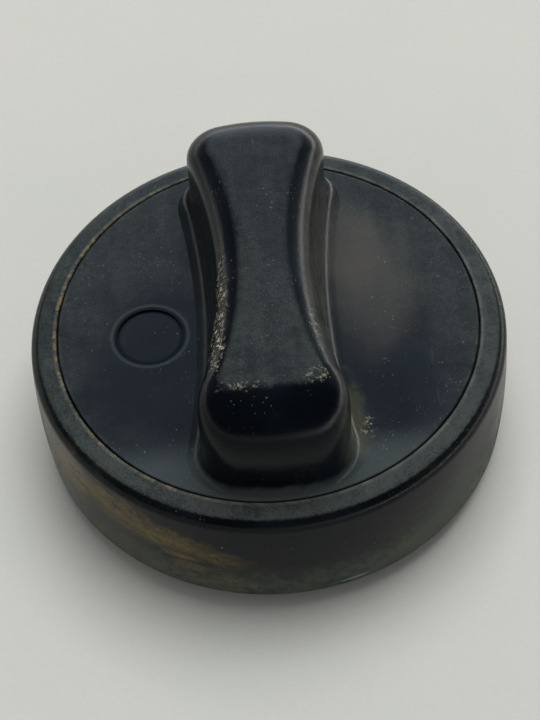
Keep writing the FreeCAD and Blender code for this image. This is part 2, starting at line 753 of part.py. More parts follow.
def make_bayonet_plate():
    body = new_body("bayonet_plate")
    thick = S["plate_thickness"]
    edge = S["tube_radius"] - S["plate_edge_gap"]
    dish = S["dish_radius"]
    slope_end = dish + S["dish_depth"]
    bend = thick * BEND_SHARE
    revolve(body, "dished_disc", [
        (0, DISH_BOTTOM), (dish, DISH_BOTTOM), (slope_end, PLATE_BOTTOM),
        (edge, PLATE_BOTTOM), (edge, TUBE_BOTTOM), (slope_end - bend, TUBE_BOTTOM),
        (dish - bend, DISH_BOTTOM + thick), (0, DISH_BOTTOM + thick),
    ])
    document.recompute()
    sketch = new_sketch(body, "ear_outline", "XY_Plane", PLATE_BOTTOM)
    half = S["ear_half_width"]
    inner = S["tube_radius"] - S["tube_wall"] * 2
    draw_profile(sketch, [(inner, -half), (S["ear_reach"], -half), (S["ear_reach"], half), (inner, half)])
    ear = pad_up(body, "ear", sketch, thick)
    document.recompute()
    ears = polar(body, "ears", ear, as_size(2))
    document.recompute()
    round_off(body, "ear_corners", ears, upright_edges(ears, S["ear_reach"], half), S["ear_corner"])
    sketch = new_sketch(body, "vent_outline", "XY_Plane", DISH_BOTTOM)
    draw_circles(sketch, [(S["vent_hole_circle"], as_size(0))], S["vent_hole_radius"])
    vent = pocket_up(body, "vent", sketch, thick)
    document.recompute()
    polar(body, "vents", vent, S["vent_hole_count"])
    document.recompute()
    places = four_places(S["plate_screw_place"], S["plate_screw_place"])
    sketch = new_sketch(body, "screw_outlines", "XY_Plane", PLATE_BOTTOM)
    draw_circles(sketch, places, S["plate_screw_shank"] + S["screw_clearance"])
    pocket_up(body, "screw_holes", sketch, thick)
    document.recompute()
    return body


# Sliding seal

def make_seal_plate():
    body = new_body("seal_plate")
    bore = S["tube_radius"] + S["seal_plate_bore_clearance"]
    hub = bore + S["seal_hub_wall"]
    lip = S["gasket_outer"]
    revolve(body, "pressing", [
        (bore, GASKET_TOP), (lip, GASKET_TOP), (lip, GASKET_TOP - S["seal_lip_height"]),
        (lip + S["seal_lip_wall"], GASKET_TOP - S["seal_lip_height"]),
        (lip + S["seal_lip_wall"], SEAL_PLATE_TOP), (hub, SEAL_PLATE_TOP),
        (hub, SEAL_PLATE_TOP + S["seal_hub_height"]), (bore, SEAL_PLATE_TOP + S["seal_hub_height"]),
    ])
    document.recompute()
    return body


def make_neck_gasket():
    body = new_body("neck_gasket")
    inner = S["gasket_inner"]
    outer = S["gasket_outer"]
    middle = (inner + outer) / 2
    half = S["gasket_groove_width"] / 2
    groove_top = GASKET_BOTTOM + S["gasket_groove_depth"]
    revolve(body, "ring", [
        (inner, GASKET_BOTTOM), (middle - half, GASKET_BOTTOM), (middle - half, groove_top),
        (middle + half, groove_top), (middle + half, GASKET_BOTTOM), (outer, GASKET_BOTTOM),
        (outer, GASKET_TOP), (inner, GASKET_TOP),
    ])
    document.recompute()
    return body


def make_snap_ring():
    body = new_body("seal_snap_ring")
    inner = S["tube_radius"] - S["snap_ring_depth"] + S["washer_clearance"]
    revolve(body, "ring", [
        (inner, GASKET_TOP - S["snap_ring_thickness"]),
        (inner + S["snap_ring_width"], GASKET_TOP - S["snap_ring_thickness"]),
        (inner + S["snap_ring_width"], GASKET_TOP), (inner, GASKET_TOP),
    ])
    document.recompute()
    sketch = new_sketch(body, "opening_outline", "XY_Plane", GASKET_TOP - S["snap_ring_thickness"])
    half = S["snap_ring_opening"] / 2
    draw_profile(sketch, [
        (-half, inner / 2), (half, inner / 2),
        (half, inner + S["snap_ring_width"] + BITE), (-half, inner + S["snap_ring_width"] + BITE),
    ])
    pocket_up(body, "opening", sketch, S["snap_ring_thickness"])
    document.recompute()
    return body


def make_washer():
    body = new_body("spring_seat_washer")
    revolve(body, "ring", [
        (S["tube_radius"] + S["washer_clearance"], WASHER_BOTTOM), (S["washer_outer"], WASHER_BOTTOM),
        (S["washer_outer"], FLANGE_BOTTOM), (S["tube_radius"] + S["washer_clearance"], FLANGE_BOTTOM),
    ])
    document.recompute()
    return body


# Valve seat and valves

def make_valve_seat():
    body = new_body("valve_seat")
    outer = S["seat_bore"] - S["seat_clearance"]
    groove = outer - S["o_ring_groove_depth"]
    groove_low = TUBE_BOTTOM + S["o_ring_groove_rise"]
    groove_high = groove_low + S["o_ring_groove_height"]
    lip = S["seat_lip_radius"]
    half = S["seat_lip_width"] / 2
    revolve(body, "seat", [
        (outer - S["seat_wall"], TUBE_BOTTOM), (outer, TUBE_BOTTOM), (outer, groove_low),
        (groove, groove_low), (groove, groove_high), (outer, groove_high), (outer, SEAT_TOP),
        (lip + half, SEAT_TOP), (lip + half, LIP_TOP), (lip - half, LIP_TOP), (lip - half, SEAT_TOP),
        (S["seat_opening"], SEAT_TOP), (S["seat_opening"], SEAT_TOP - S["seat_thickness"]),
        (outer - S["seat_wall"], SEAT_TOP - S["seat_thickness"]),
    ])
    document.recompute()
    return body


def make_o_ring():
    ring = document.addObject("Part::Torus", "seat_o_ring")
    ring.Label = "seat_o_ring"
    groove = S["seat_bore"] - S["seat_clearance"] - S["o_ring_groove_depth"]
    middle = (groove + S["seat_bore"]) / 2
    height = TUBE_BOTTOM + S["o_ring_groove_rise"] + S["o_ring_groove_height"] / 2
    ring.setExpression("Radius1", middle.formula)
    ring.setExpression("Radius2", S["o_ring_section"].formula)
    ring.setExpression("Placement.Base.z", height.formula)
    document.recompute()
    return ring


def make_pressure_plate():
    body = new_body("pressure_valve_plate")
    outer = S["valve_plate_radius"]
    bore = S["stem_radius"] + S["stem_clearance"]
    rim = outer - S["valve_plate_rim"]
    revolve(body, "plate", [
        (bore, VALVE_PLATE_BOTTOM), (outer, VALVE_PLATE_BOTTOM),
        (outer, VALVE_PLATE_TOP + S["valve_plate_rim_height"]),
        (rim, VALVE_PLATE_TOP + S["valve_plate_rim_height"]), (rim, VALVE_PLATE_TOP),
        (bore, VALVE_PLATE_TOP),
    ])
    document.recompute()
    sketch = new_sketch(body, "port_outline", "XY_Plane", VALVE_PLATE_BOTTOM)
    draw_circles(sketch, [(S["vacuum_port_circle"], as_size(0))], S["vacuum_port_radius"])
    port = pocket_up(body, "port", sketch, S["valve_plate_thickness"])
    document.recompute()
    polar(body, "ports", port, S["vacuum_port_count"])
    document.recompute()
    return body


def make_flat_ring(label, inner, outer, bottom, top):
    body = new_body(label)
    revolve(body, "ring", [(inner, bottom), (outer, bottom), (outer, top), (inner, top)])
    document.recompute()
    return body


def make_vacuum_valve():
    body = new_body("vacuum_valve")
    stem = S["stem_radius"]
    revolve(body, "disc_and_stem", [
        (0, VACUUM_DISC_BOTTOM), (S["vacuum_disc_radius"], VACUUM_DISC_BOTTOM),
        (S["vacuum_disc_radius"], VACUUM_DISC_TOP), (stem, VACUUM_DISC_TOP), (stem, CLIP_BOTTOM),
        (S["clip_groove_radius"], CLIP_BOTTOM), (S["clip_groove_radius"], CLIP_BOTTOM + S["clip_thickness"]),
        (stem, CLIP_BOTTOM + S["clip_thickness"]), (stem, S["stem_top"]), (0, S["stem_top"]),
    ])
    document.recompute()
    return body


# Coil springs: round wire swept along short arcs, with ends that lie flat.

ARCS_PER_TURN = 4
FLAT_END = 0.125


def coil_point(share, turns, low, high, low_radius, high_radius):
    angle = 2 * math.pi * turns * share
    radius = low_radius + (high_radius - low_radius) * share
    climb = min(max((share - FLAT_END) / (1 - 2 * FLAT_END), 0), 1)
    return FreeCAD.Vector(radius * math.cos(angle), radius * math.sin(angle), low + (high - low) * climb)


def make_spring(label, bottom, top, bottom_radius, top_radius, wire, turns):
    low = bottom.value + wire.value
    high = top.value - wire.value
    count = round(ARCS_PER_TURN * turns.value)
    arcs = []
    for step in range(count):
        points = [coil_point((step + part) / count, turns.value, low, high,
                             bottom_radius.value, top_radius.value) for part in (0, 0.5, 1)]
        arcs.append(Part.Arc(*points).toShape())
    first = arcs[0]
    section = Part.makeCircle(wire.value, first.valueAt(first.FirstParameter),
                              first.tangentAt(first.FirstParameter))
    spring = document.addObject("Part::Feature", label)
    spring.Label = label
    spring.Shape = Part.Wire(arcs).makePipeShell([Part.Wire([section])], True, True)
    spring.Placement = FreeCAD.Placement()
    return spring


def make_all():
    return [
        make_skirt_ring(),
        make_grip_cover(),
        make_core_body(),
        make_screws("cover_screws", four_places(S["cover_screw_x"], S["cover_screw_y"]),
                    FLANGE_BOTTOM, S["cover_head_radius"], S["cover_head_height"],
                    S["cover_screw_shank"], S["cover_screw_length"]),
        make_bayonet_plate(),
        make_screws("bayonet_screws", four_places(S["plate_screw_place"], S["plate_screw_place"]),
                    PLATE_BOTTOM - S["plate_head_height"], S["plate_head_radius"],
                    S["plate_head_height"], S["plate_screw_shank"], S["plate_screw_length"]),
        make_spring("main_spring", SEAL_PLATE_TOP, WASHER_BOTTOM, S["main_bottom_radius"],
                    S["main_top_radius"], S["main_wire"], S["main_turns"]),
        make_washer(),
        make_seal_plate(),
        make_neck_gasket(),
        make_snap_ring(),
        make_valve_seat(),
        make_o_ring(),
        make_pressure_plate(),
        make_flat_ring("pressure_valve_seal", S["valve_seal_inner"], S["valve_seal_outer"],
                       LIP_TOP, VALVE_PLATE_BOTTOM),
        make_spring("pressure_spring", VALVE_PLATE_TOP, FLANGE_BOTTOM, S["pressure_spring_radius"],
                    S["pressure_spring_radius"], S["pressure_wire"], S["pressure_turns"]),
        make_vacuum_valve(),
        make_flat_ring("vacuum_valve_seal", S["vacuum_seal_inner"], S["vacuum_seal_outer"],
                       VACUUM_DISC_TOP, VALVE_PLATE_BOTTOM),
        make_spring("vacuum_spring", VALVE_PLATE_TOP, CLIP_BOTTOM, S["vacuum_spring_radius"],
                    S["vacuum_spring_radius"], S["vacuum_wire"], S["vacuum_turns"]),
        make_flat_ring("vacuum_spring_clip", S["clip_groove_radius"] + S["screw_clearance"],
                       S["clip_radius"], CLIP_BOTTOM, CLIP_BOTTOM + S["clip_thickness"]),
    ]


def check_and_write(pieces):
    document.recompute()
    for item in document.Objects:
        if "Invalid" in item.State or "Error" in item.State:
            raise RuntimeError(f"{item.Name} failed: {item.State}")
    os.makedirs(PART_FOLDER, exist_ok=True)
    for piece in pieces:
        shape = piece.Shape
        if shape.isNull() or not shape.isValid() or not shape.Solids:
            raise RuntimeError(f"{piece.Label} has no valid solid")
        shape.exportStep(f"{PART_FOLDER}/{piece.Label}.step")
        box = shape.BoundBox
        print(f"{piece.Label:22s} solids {len(shape.Solids)} volume {shape.Volume:9.1f} "
              f"z {box.ZMin:7.2f} to {box.ZMax:6.2f} x to {box.XMax:6.2f} y to {box.YMax:6.2f}")


check_and_write(make_all())
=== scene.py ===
import json
import math

import bpy
from mathutils import Matrix, Vector


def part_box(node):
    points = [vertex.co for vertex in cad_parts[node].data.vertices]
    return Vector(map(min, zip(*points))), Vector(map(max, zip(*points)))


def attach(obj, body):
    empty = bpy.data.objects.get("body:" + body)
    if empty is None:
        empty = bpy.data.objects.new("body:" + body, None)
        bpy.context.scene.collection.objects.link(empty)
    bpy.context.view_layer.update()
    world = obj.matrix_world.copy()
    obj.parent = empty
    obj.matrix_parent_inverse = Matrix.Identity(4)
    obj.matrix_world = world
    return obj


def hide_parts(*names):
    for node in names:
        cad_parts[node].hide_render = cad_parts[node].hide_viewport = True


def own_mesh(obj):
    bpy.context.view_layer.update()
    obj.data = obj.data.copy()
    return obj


mm = 0.001
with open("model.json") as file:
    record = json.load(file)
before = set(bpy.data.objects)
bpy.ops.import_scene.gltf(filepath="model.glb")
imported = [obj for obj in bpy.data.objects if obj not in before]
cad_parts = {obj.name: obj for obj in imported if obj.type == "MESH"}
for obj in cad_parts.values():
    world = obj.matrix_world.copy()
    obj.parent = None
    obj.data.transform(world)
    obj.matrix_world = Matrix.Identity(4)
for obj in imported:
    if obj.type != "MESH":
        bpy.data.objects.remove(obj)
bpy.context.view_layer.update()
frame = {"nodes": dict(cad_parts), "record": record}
nodes = frame["nodes"]
print("frame loaded:", len(nodes), "nodes")

# the cap's own sizes that the finish follows; lengths are in millimetres, and in metres for the room
cap = {
    "disc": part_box("skirt_ring")[1][2] / mm,     # plane of the disc and of the ring's land
    "foot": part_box("skirt_ring")[0][2] / mm,
    "jointRadius": 35.1,
}


# node helpers: each adds to the given tree and gives back an output

def addNode(tree, kind, settings=None, inputs=None):
    made = tree.nodes.new(kind)
    for name, value in (settings or {}).items():
        setattr(made, name, value)
    for name, value in (inputs or {}).items():
        feed(tree, value, made.inputs[name])
    return made


def feed(tree, value, socket):
    if isinstance(value, bpy.types.NodeSocket):
        tree.links.new(value, socket)
    else:
        socket.default_value = value


def calc(tree, operation, first, second=None, third=None, clamp=False):
    made = addNode(tree, "ShaderNodeMath", {"operation": operation, "use_clamp": clamp})
    for index, value in enumerate((first, second, third)):
        if value is not None:
            feed(tree, value, made.inputs[index])
    return made.outputs[0]


def product(tree, *factors, clamp=False):
    made = factors[0]
    for factor in factors[1:-1]:
        made = calc(tree, "MULTIPLY", made, factor)
    return calc(tree, "MULTIPLY", made, factors[-1], clamp=clamp)


def vectorCalc(tree, operation, first, second=None):
    made = addNode(tree, "ShaderNodeVectorMath", {"operation": operation})
    feed(tree, first, made.inputs[0])
    if second is not None:
        feed(tree, second, made.inputs[1])
    return made.outputs["Value" if operation == "LENGTH" else "Vector"]


def split(tree, vector):
    return addNode(tree, "ShaderNodeSeparateXYZ", None, {"Vector": vector}).outputs


def surfaceNormal(tree):
    return split(tree, addNode(tree, "ShaderNodeNewGeometry").outputs["Normal"])


def fromAxis(tree, place):
    return vectorCalc(tree, "LENGTH", vectorCalc(tree, "MULTIPLY", place, (1.0, 1.0, 0.0)))


def ease(tree, value, span, out=(0.0, 1.0)):
    made = addNode(tree, "ShaderNodeMapRange", {"interpolation_type": "SMOOTHSTEP"},
                   {"Value": value, "From Min": span[0], "From Max": span[1],
                    "To Min": out[0], "To Max": out[1]})
    return made.outputs["Result"]


def along(tree, value, span, out=(0.0, 1.0)):
    # eases a coordinate, with the span in millimetres
    return ease(tree, value, (span[0] * mm, span[1] * mm), out)


def noise(tree, place, scale, detail, roughness, distortion=0.0):
    made = addNode(tree, "ShaderNodeTexNoise", None,
                   {"Vector": place, "Scale": scale, "Detail": detail, "Roughness": roughness,
                    "Distortion": distortion})
    return made.outputs["Fac"]


def cloudy(tree, place, scale, detail, roughness, span, out=(0.0, 1.0), distortion=0.0):
    return ease(tree, noise(tree, place, scale, detail, roughness, distortion), span, out)


def wander(tree, place, scale, detail, roughness, reach):
    # an offset that strays by half the reach either way, with the reach in millimetres
    strayed = calc(tree, "SUBTRACT", noise(tree, place, scale, detail, roughness), 0.5)
    return product(tree, strayed, reach * mm)


def mixColour(tree, share, first, second):
    made = addNode(tree, "ShaderNodeMix", {"data_type": "RGBA"})
    for index, value in zip((0, 6, 7), (share, first, second)):      # 6 and 7 take the colours
        feed(tree, value, made.inputs[index])
    return made.outputs[2]


def mixValue(tree, share, first, second):
    made = addNode(tree, "ShaderNodeMix", {"data_type": "FLOAT"})
    for index, value in zip((0, 2, 3), (share, first, second)):      # 2 and 3 take the numbers
        feed(tree, value, made.inputs[index])
    return made.outputs[0]


def newGroup(name, vectors, values, gives):
    group = bpy.data.node_groups.new(name, "ShaderNodeTree")
    sockets = [(label, "INPUT", "NodeSocketVector") for label in vectors]
    sockets += [(label, "INPUT", "NodeSocketFloat") for label in values]
    sockets += [(label, "OUTPUT", "NodeSocketFloat") for label in gives]
    for label, side, kind in sockets:
        group.interface.new_socket(label, in_out=side, socket_type=kind)
    entry = group.nodes.new("NodeGroupInput")
    leave = group.nodes.new("NodeGroupOutput")
    return group, entry.outputs, leave.inputs


def useGroup(tree, group, place, values):
    made = tree.nodes.new("ShaderNodeGroup")
    made.node_tree = group
    feed(tree, place, made.inputs["Position"])
    for name, value in values.items():
        feed(tree, value, made.inputs[name])
    return made.outputs


def mask(tree, group, place, values):
    return useGroup(tree, group, place, values)["Mask"]


# shared effects

def makeGrainGroup():
    # the fine skin of a moulding, with the broad waves of shrinkage under it
    group, take, give = newGroup("mouldedGrain", ["Position"],
                                 ["Grain Scale", "Grain Depth", "Wave Scale", "Wave Depth"],
                                 ["Height", "Patch"])
    grain = noise(group, take["Position"], take["Grain Scale"], detail=4.0, roughness=0.6)
    wave = noise(group, take["Position"], take["Wave Scale"], detail=2.0, roughness=0.5)
    fine = product(group, grain, take["Grain Depth"])
    broad = product(group, wave, take["Wave Depth"])
    feed(group, calc(group, "ADD", fine, broad), give["Height"])
    feed(group, wave, give["Patch"])
    return group


def makeDustGroup():
    # a thin film in clouds, with grit in it
    group, take, give = newGroup("dustFilm", ["Position"], ["Amount", "Cloud Scale"], ["Mask"])
    cloud = cloudy(group, take["Position"], scale=take["Cloud Scale"], detail=6.0, roughness=0.62,
                   distortion=0.6, span=(0.34, 0.72))
    grit = cloudy(group, take["Position"], scale=1500.0, detail=3.0, roughness=0.7,
                  span=(0.35, 0.75), out=(0.55, 1.0))
    feed(group, product(group, cloud, grit, take["Amount"], clamp=True), give["Mask"])
    return group


def makeHazeGroup():
    # grey film on what lies flat; it is wiped off wherever the surface rounds over
    group, take, give = newGroup("flatHaze", ["Position"], ["Amount", "Steep", "Flat"], ["Mask"])
    place = take["Position"]
    lying = ease(group, surfaceNormal(group)["Z"], (take["Steep"], take["Flat"]))
    cloud = cloudy(group, place, scale=130.0, detail=5.0, roughness=0.65, distortion=0.3,
                   span=(0.34, 0.64), out=(0.68, 1.05))
    blotch = cloudy(group, place, scale=620.0, detail=4.0, roughness=0.7, distortion=0.4,
                    span=(0.36, 0.66), out=(0.72, 1.15))
    grit = cloudy(group, place, scale=3300.0, detail=3.0, roughness=0.7,
                  span=(0.36, 0.66), out=(0.6, 1.35))
    drawn = vectorCalc(group, "MULTIPLY", place, (1.0, 0.1, 1.0))
    wiping = cloudy(group, drawn, scale=420.0, detail=3.0, roughness=0.6,
                    span=(0.36, 0.64), out=(0.82, 1.12))
    film = product(group, cloud, wiping, blotch, grit, lying, take["Amount"], clamp=True)
    feed(group, film, give["Mask"])
    return group


def makeSpeckGroup():
    # small pale crumbs: cells of a cell pattern, thinned out by a slower cloud
    group, take, give = newGroup("paleSpecks", ["Position"],
                                 ["Cell Scale", "Size", "Share", "Cloud Scale"], ["Mask"])
    bent = addNode(group, "ShaderNodeTexNoise", None,
                   {"Vector": take["Position"], "Scale": 700.0, "Detail": 2.0})
    bend = 0.9 * mm
    push = vectorCalc(group, "MULTIPLY", bent.outputs["Color"], (bend, bend, bend))
    moved = vectorCalc(group, "ADD", take["Position"], push)
    cells = addNode(group, "ShaderNodeTexVoronoi", {"feature": "F1"},
                    {"Vector": moved, "Scale": take["Cell Scale"]}).outputs
    tone = addNode(group, "ShaderNodeSeparateColor", None, {"Color": cells["Color"]}).outputs
    chosen = calc(group, "LESS_THAN", tone["Red"], take["Share"])
    width = product(group, take["Size"], calc(group, "ADD", tone["Green"], 0.4))
    dot = calc(group, "LESS_THAN", cells["Distance"], width)
    gathered = cloudy(group, take["Position"], scale=take["Cloud Scale"], detail=3.0, roughness=0.6,
                      span=(0.42, 0.6))
    feed(group, product(group, chosen, dot, gathered), give["Mask"])
    return group


def makeStainGroup():
    # one soft-edged mark: an ellipsoid about a centre with a torn edge
    group, take, give = newGroup("stainPatch", ["Position", "Centre", "Half Size"],
                                 ["Edge Scale", "Tear"], ["Mask"])
    away = vectorCalc(group, "SUBTRACT", take["Position"], take["Centre"])
    reach = vectorCalc(group, "LENGTH", vectorCalc(group, "DIVIDE", away, take["Half Size"]))
    rough = noise(group, take["Position"], take["Edge Scale"], detail=5.0, roughness=0.65)
    torn = product(group, calc(group, "SUBTRACT", rough, 0.5), take["Tear"], 2.0)
    edge = calc(group, "ADD", reach, torn)
    feed(group, ease(group, edge, (0.35, 1.05), (1.0, 0.0)), give["Mask"])
    return group


def makeBandGroup():
    # a round band about the axis
    group, take, give = newGroup("roundBand", ["Position"], ["Radius", "Half Width"], ["Mask"])
    off = calc(group, "SUBTRACT", fromAxis(group, take["Position"]), take["Radius"])
    near = calc(group, "DIVIDE", calc(group, "ABSOLUTE", off), take["Half Width"])
    feed(group, ease(group, near, (0.3, 1.0), (1.0, 0.0)), give["Mask"])
    return group


def makeScuffGroup():
    # fine scratches that run along one direction
    group, take, give = newGroup("fineScuffs", ["Position", "Stretch"], ["Scale", "Share"], ["Mask"])
    drawn = vectorCalc(group, "MULTIPLY", take["Position"], take["Stretch"])
    line = cloudy(group, drawn, scale=take["Scale"], detail=2.0, roughness=0.5, span=(0.62, 0.72))
    patch = cloudy(group, take["Position"], scale=70.0, detail=3.0, roughness=0.6, span=(0.5, 0.68))
    feed(group, product(group, line, patch, take["Share"]), give["Mask"])
    return group


grainGroup = makeGrainGroup()
dustGroup = makeDustGroup()
hazeGroup = makeHazeGroup()
speckGroup = makeSpeckGroup()
stainGroup = makeStainGroup()
bandGroup = makeBandGroup()
scuffGroup = makeScuffGroup()
print("shared effects ready")


def stain(tree, place, centre, half, edge):
    return mask(tree, stainGroup, place,
                {"Centre": Vector(centre) * mm, "Half Size": Vector(half) * mm, **edge})


def band(tree, place, radius, halfWidth):
    return mask(tree, bandGroup, place, {"Radius": radius * mm, "Half Width": halfWidth * mm})


# materials

def startMaterial(name, plain):
    material = bpy.data.materials.new(name)
    material.use_nodes = True
    tree = material.node_tree
    tree.nodes.clear()
    shader = tree.nodes.new("ShaderNodeBsdfPrincipled")
    for socket, value in plain.items():
        shader.inputs[socket].default_value = value
    leave = tree.nodes.new("ShaderNodeOutputMaterial")
    tree.links.new(shader.outputs["BSDF"], leave.inputs["Surface"])
    place = tree.nodes.new("ShaderNodeTexCoord").outputs["Object"]
    return material, tree, shader, place


def bumpTo(tree, shader, height, strength, distance):
    bump = addNode(tree, "ShaderNodeBump", None,
                   {"Strength": strength, "Distance": distance * mm, "Height": height})
    tree.links.new(bump.outputs["Normal"], shader.inputs["Normal"])


def fadedPlastic(tree, grain, look):
    share = ease(tree, grain["Patch"], (0.4, 0.65))
    return mixColour(tree, share, look["plastic"], look["faded"])


# dust too fine to see one by one, on both outer mouldings
fineCrumbs = {"Cell Scale": 1700.0, "Size": 0.20, "Share": 0.34, "Cloud Scale": 110.0}

gripLook = {
    "plastic": (0.0018, 0.0030, 0.0050, 1.0),
    "faded": (0.0038, 0.0062, 0.0092, 1.0),
    "haze": (0.0370, 0.0440, 0.0430, 1.0),
    # film colour, also used for the strip of painted light in front of the nose
    "footFilm": (0.0520, 0.0640, 0.0660, 1.0),
    # colour of the painted sheen, a reflection laid into the disc's colour
    "paintedSheen": (0.0850, 0.0760, 0.0690, 1.0),
    "dust": (0.075, 0.080, 0.068, 1.0),
    "crust": (0.46, 0.44, 0.31, 1.0),
    "crumb": (0.42, 0.43, 0.39, 1.0),
    "grime": (0.150, 0.150, 0.080, 1.0),
    "specular": 0.11,
    "roughness": (0.20, 0.29),
    "hazeRoughness": 0.22,                       # added where the haze lies
    "scuffRoughness": 0.15,
    "grain": {"Grain Scale": 2400.0, "Grain Depth": 0.35, "Wave Scale": 70.0, "Wave Depth": 0.25},
    "bump": {"strength": 0.4, "distance": 0.14},
    "crumbHeight": 0.3,
    # haze: how much lies on the disc and on the handle, and where it starts and ends
    "hazeSlope": {"Steep": 0.93, "Flat": 0.992},
    "discHaze": 0.70,
    "handleHaze": 0.72,
    "handleRise": (cap["disc"] + 6.0, cap["disc"] + 12.0),
    "noseEdge": (-26.2, -24.6),
    "noseWander": {"scale": 500.0, "detail": 3.0, "roughness": 0.6, "reach": 2.5},
    "towardsNose": {"span": (12.0, -20.0), "out": (0.82, 1.22)},
    "wipedOff": 0.66,
    "wipedEdge": {"Edge Scale": 130.0, "Tear": 0.35},
    "wiped": [
        ((-17.0, -9.0, cap["disc"]), (20.0, 27.0, 5.0)),
        ((20.0, -12.0, cap["disc"]), (14.0, 21.0, 5.0)),
    ],
    # painted sheen: a brown reflection painted into the disc's colour right of the handle
    "paintedSheenShare": 0.45,
    "paintedSheenEdge": {"Edge Scale": 150.0, "Tear": 0.3},
    "paintedSheens": [
        ((15.0, 15.0, cap["disc"]), (7.0, 14.0, 5.0)),
        ((18.5, 6.0, cap["disc"]), (9.0, 19.0, 5.0)),
    ],
    # film in the hollow curve at the handle's foot, and a pale strip in front of its nose: film lifted by
    # painted light against the shade there
    "footRise": {"span": (cap["disc"] + 0.5, cap["disc"] + 2.4), "out": (1.0, 0.0)},
    "footWander": {"scale": 420.0, "detail": 4.0, "roughness": 0.6, "reach": 1.6},
    "footNear": {"span": (-22.0, -28.0), "out": (0.12, 0.80)},
    "filmAndLightStrip": ((0.0, -34.5, cap["disc"]), (16.0, 6.0, 4.0)),
    "filmAndLightStripEdge": {"Edge Scale": 200.0, "Tear": 0.3},
    "filmAndLightStripShare": 0.95,
    # painted light on the walls that face right, then dust and crumbs
    "rightLitFacing": {"span": (0.55, 0.90), "out": (0.0, 0.42)},
    "rightLitClouds": {"scale": 300.0, "detail": 4.0, "roughness": 0.65, "span": (0.34, 0.66),
                   "out": (0.45, 1.2)},
    "lying": {"span": (0.6, 0.97), "out": (0.25, 1.0)},
    "fineShare": 0.14,
    "coarseCrumbs": {"Cell Scale": 780.0, "Size": 0.13, "Share": 0.10, "Cloud Scale": 120.0},
    "coarseShare": 0.18,
    "scratches": {"Stretch": (1.0, 0.10, 1.0), "Scale": 1500.0, "Share": 0.05},
    "scuffs": {"Stretch": (1.0, 0.06, 1.0), "Scale": 900.0, "Share": 0.4},
    # crust: centre, half size and strength of each spot
    "crustCells": {"Cell Scale": 2400.0, "Size": 0.52, "Share": 0.80, "Cloud Scale": 900.0},
    "crustEdge": {"Edge Scale": 500.0, "Tear": 0.8},
    "crustSpots": [
        ((-7.8, -17.5, 40.3), (2.1, 9.0, 3.2), 1.0),     # left shoulder of the handle
        ((-6.9, -7.0, 40.8), (1.6, 11.0, 2.6), 0.55),
        ((6.5, -24.0, 42.7), (2.8, 1.8, 1.6), 0.36),     # near right corner of the flat
        ((-4.6, -25.2, 42.7), (3.6, 1.0, 1.4), 0.34),
        ((7.2, -13.0, 41.8), (1.3, 10.0, 1.8), 0.20),
        ((-5.9, -27.3, 39.6), (1.3, 1.3, 1.5), 0.5),
        ((13.2, -2.8, 25.6), (0.6, 0.6, 0.8), 1.0),      # one crumb on the disc
        ((14.6, -22.5, 25.6), (1.8, 2.6, 0.8), 0.40),    # crumbs in the grime beside the foot
    ],
    # grime where the handle meets the disc, on the right of the near end
    "grimeSpot": ((12.6, -21.0, cap["disc"] + 0.5), (2.6, 9.0, 3.0)),
    "grimeEdge": {"Edge Scale": 260.0, "Tear": 0.9},
    "grimeStreaks": {"Stretch": (1.0, 0.22, 0.5), "Scale": 1000.0, "Share": 1.6},
    "grimeFloor": 0.26,
    "grimeShare": 0.85,
    # round recess: radius, half width, share and paint of the dark ring in its edge and of its pale lip
    "recess": (-19.6, -1.3, 0.0),
    "recessBands": [(5.5, 0.75, 0.95, "plastic"), (6.35, 0.45, 0.30, "dust")],
    # the joint's edge, rubbed pale in places
    "joint": {"radius": cap["jointRadius"] - 0.35, "halfWidth": 0.4},
    "rubbing": {"scale": 320.0, "detail": 4.0, "roughness": 0.65, "span": (0.42, 0.66)},
    "rubbedShare": 0.35,
}


def gripHaze(tree, place, parts, look):
    # hands wipe the disc clean on both sides of the handle's near end; the rest keeps its film
    wiped = 0.0
    for centre, half in look["wiped"]:
        wiped = calc(tree, "MAXIMUM", wiped, stain(tree, place, centre, half, look["wipedEdge"]))
    onDisc = calc(tree, "MULTIPLY_ADD", wiped, -look["wipedOff"], look["discHaze"])
    onHandle = along(tree, parts["Z"], look["handleRise"])
    ragged = calc(tree, "ADD", parts["Y"], wander(tree, place, **look["noseWander"]))
    offNose = along(tree, ragged, look["noseEdge"])
    nearer = along(tree, parts["Y"], **look["towardsNose"])
    amount = mixValue(tree, onHandle, onDisc, look["handleHaze"])
    return product(tree, amount, mixValue(tree, onHandle, 1.0, product(tree, offNose, nearer)))


def addFootFilmAndLitStrip(tree, place, parts, colour, look):
    ragged = calc(tree, "ADD", parts["Z"], wander(tree, place, **look["footWander"]))
    low = along(tree, ragged, **look["footRise"])
    climbing = product(tree, low, along(tree, parts["Y"], **look["footNear"]))
    # strip in front of the nose: film painted lighter as painted light against the shade there
    filmAndLightStrip = product(tree, stain(tree, place, *look["filmAndLightStrip"], look["filmAndLightStripEdge"]), low, look["filmAndLightStripShare"])
    return mixColour(tree, calc(tree, "MAXIMUM", climbing, filmAndLightStrip), colour, look["footFilm"])


def addGripLightAndDust(tree, place, coarse, colour, look):
    # painted light: walls that face right are painted paler in dust colour, broken by clouds; crumbs lie on
    # what faces up
    facing = surfaceNormal(tree)
    rightLitWall = product(tree, ease(tree, facing["X"], **look["rightLitFacing"]),
                     cloudy(tree, place, **look["rightLitClouds"]))
    colour = mixColour(tree, rightLitWall, colour, look["dust"])
    lying = ease(tree, facing["Z"], **look["lying"])
    fine = mask(tree, speckGroup, place, fineCrumbs)
    colour = mixColour(tree, product(tree, fine, lying, look["fineShare"]), colour, look["crumb"])
    scratches = mask(tree, scuffGroup, place, look["scratches"])
    colour = mixColour(tree, scratches, colour, look["crumb"])
    return mixColour(tree, product(tree, coarse, lying, look["coarseShare"]), colour, look["crumb"])


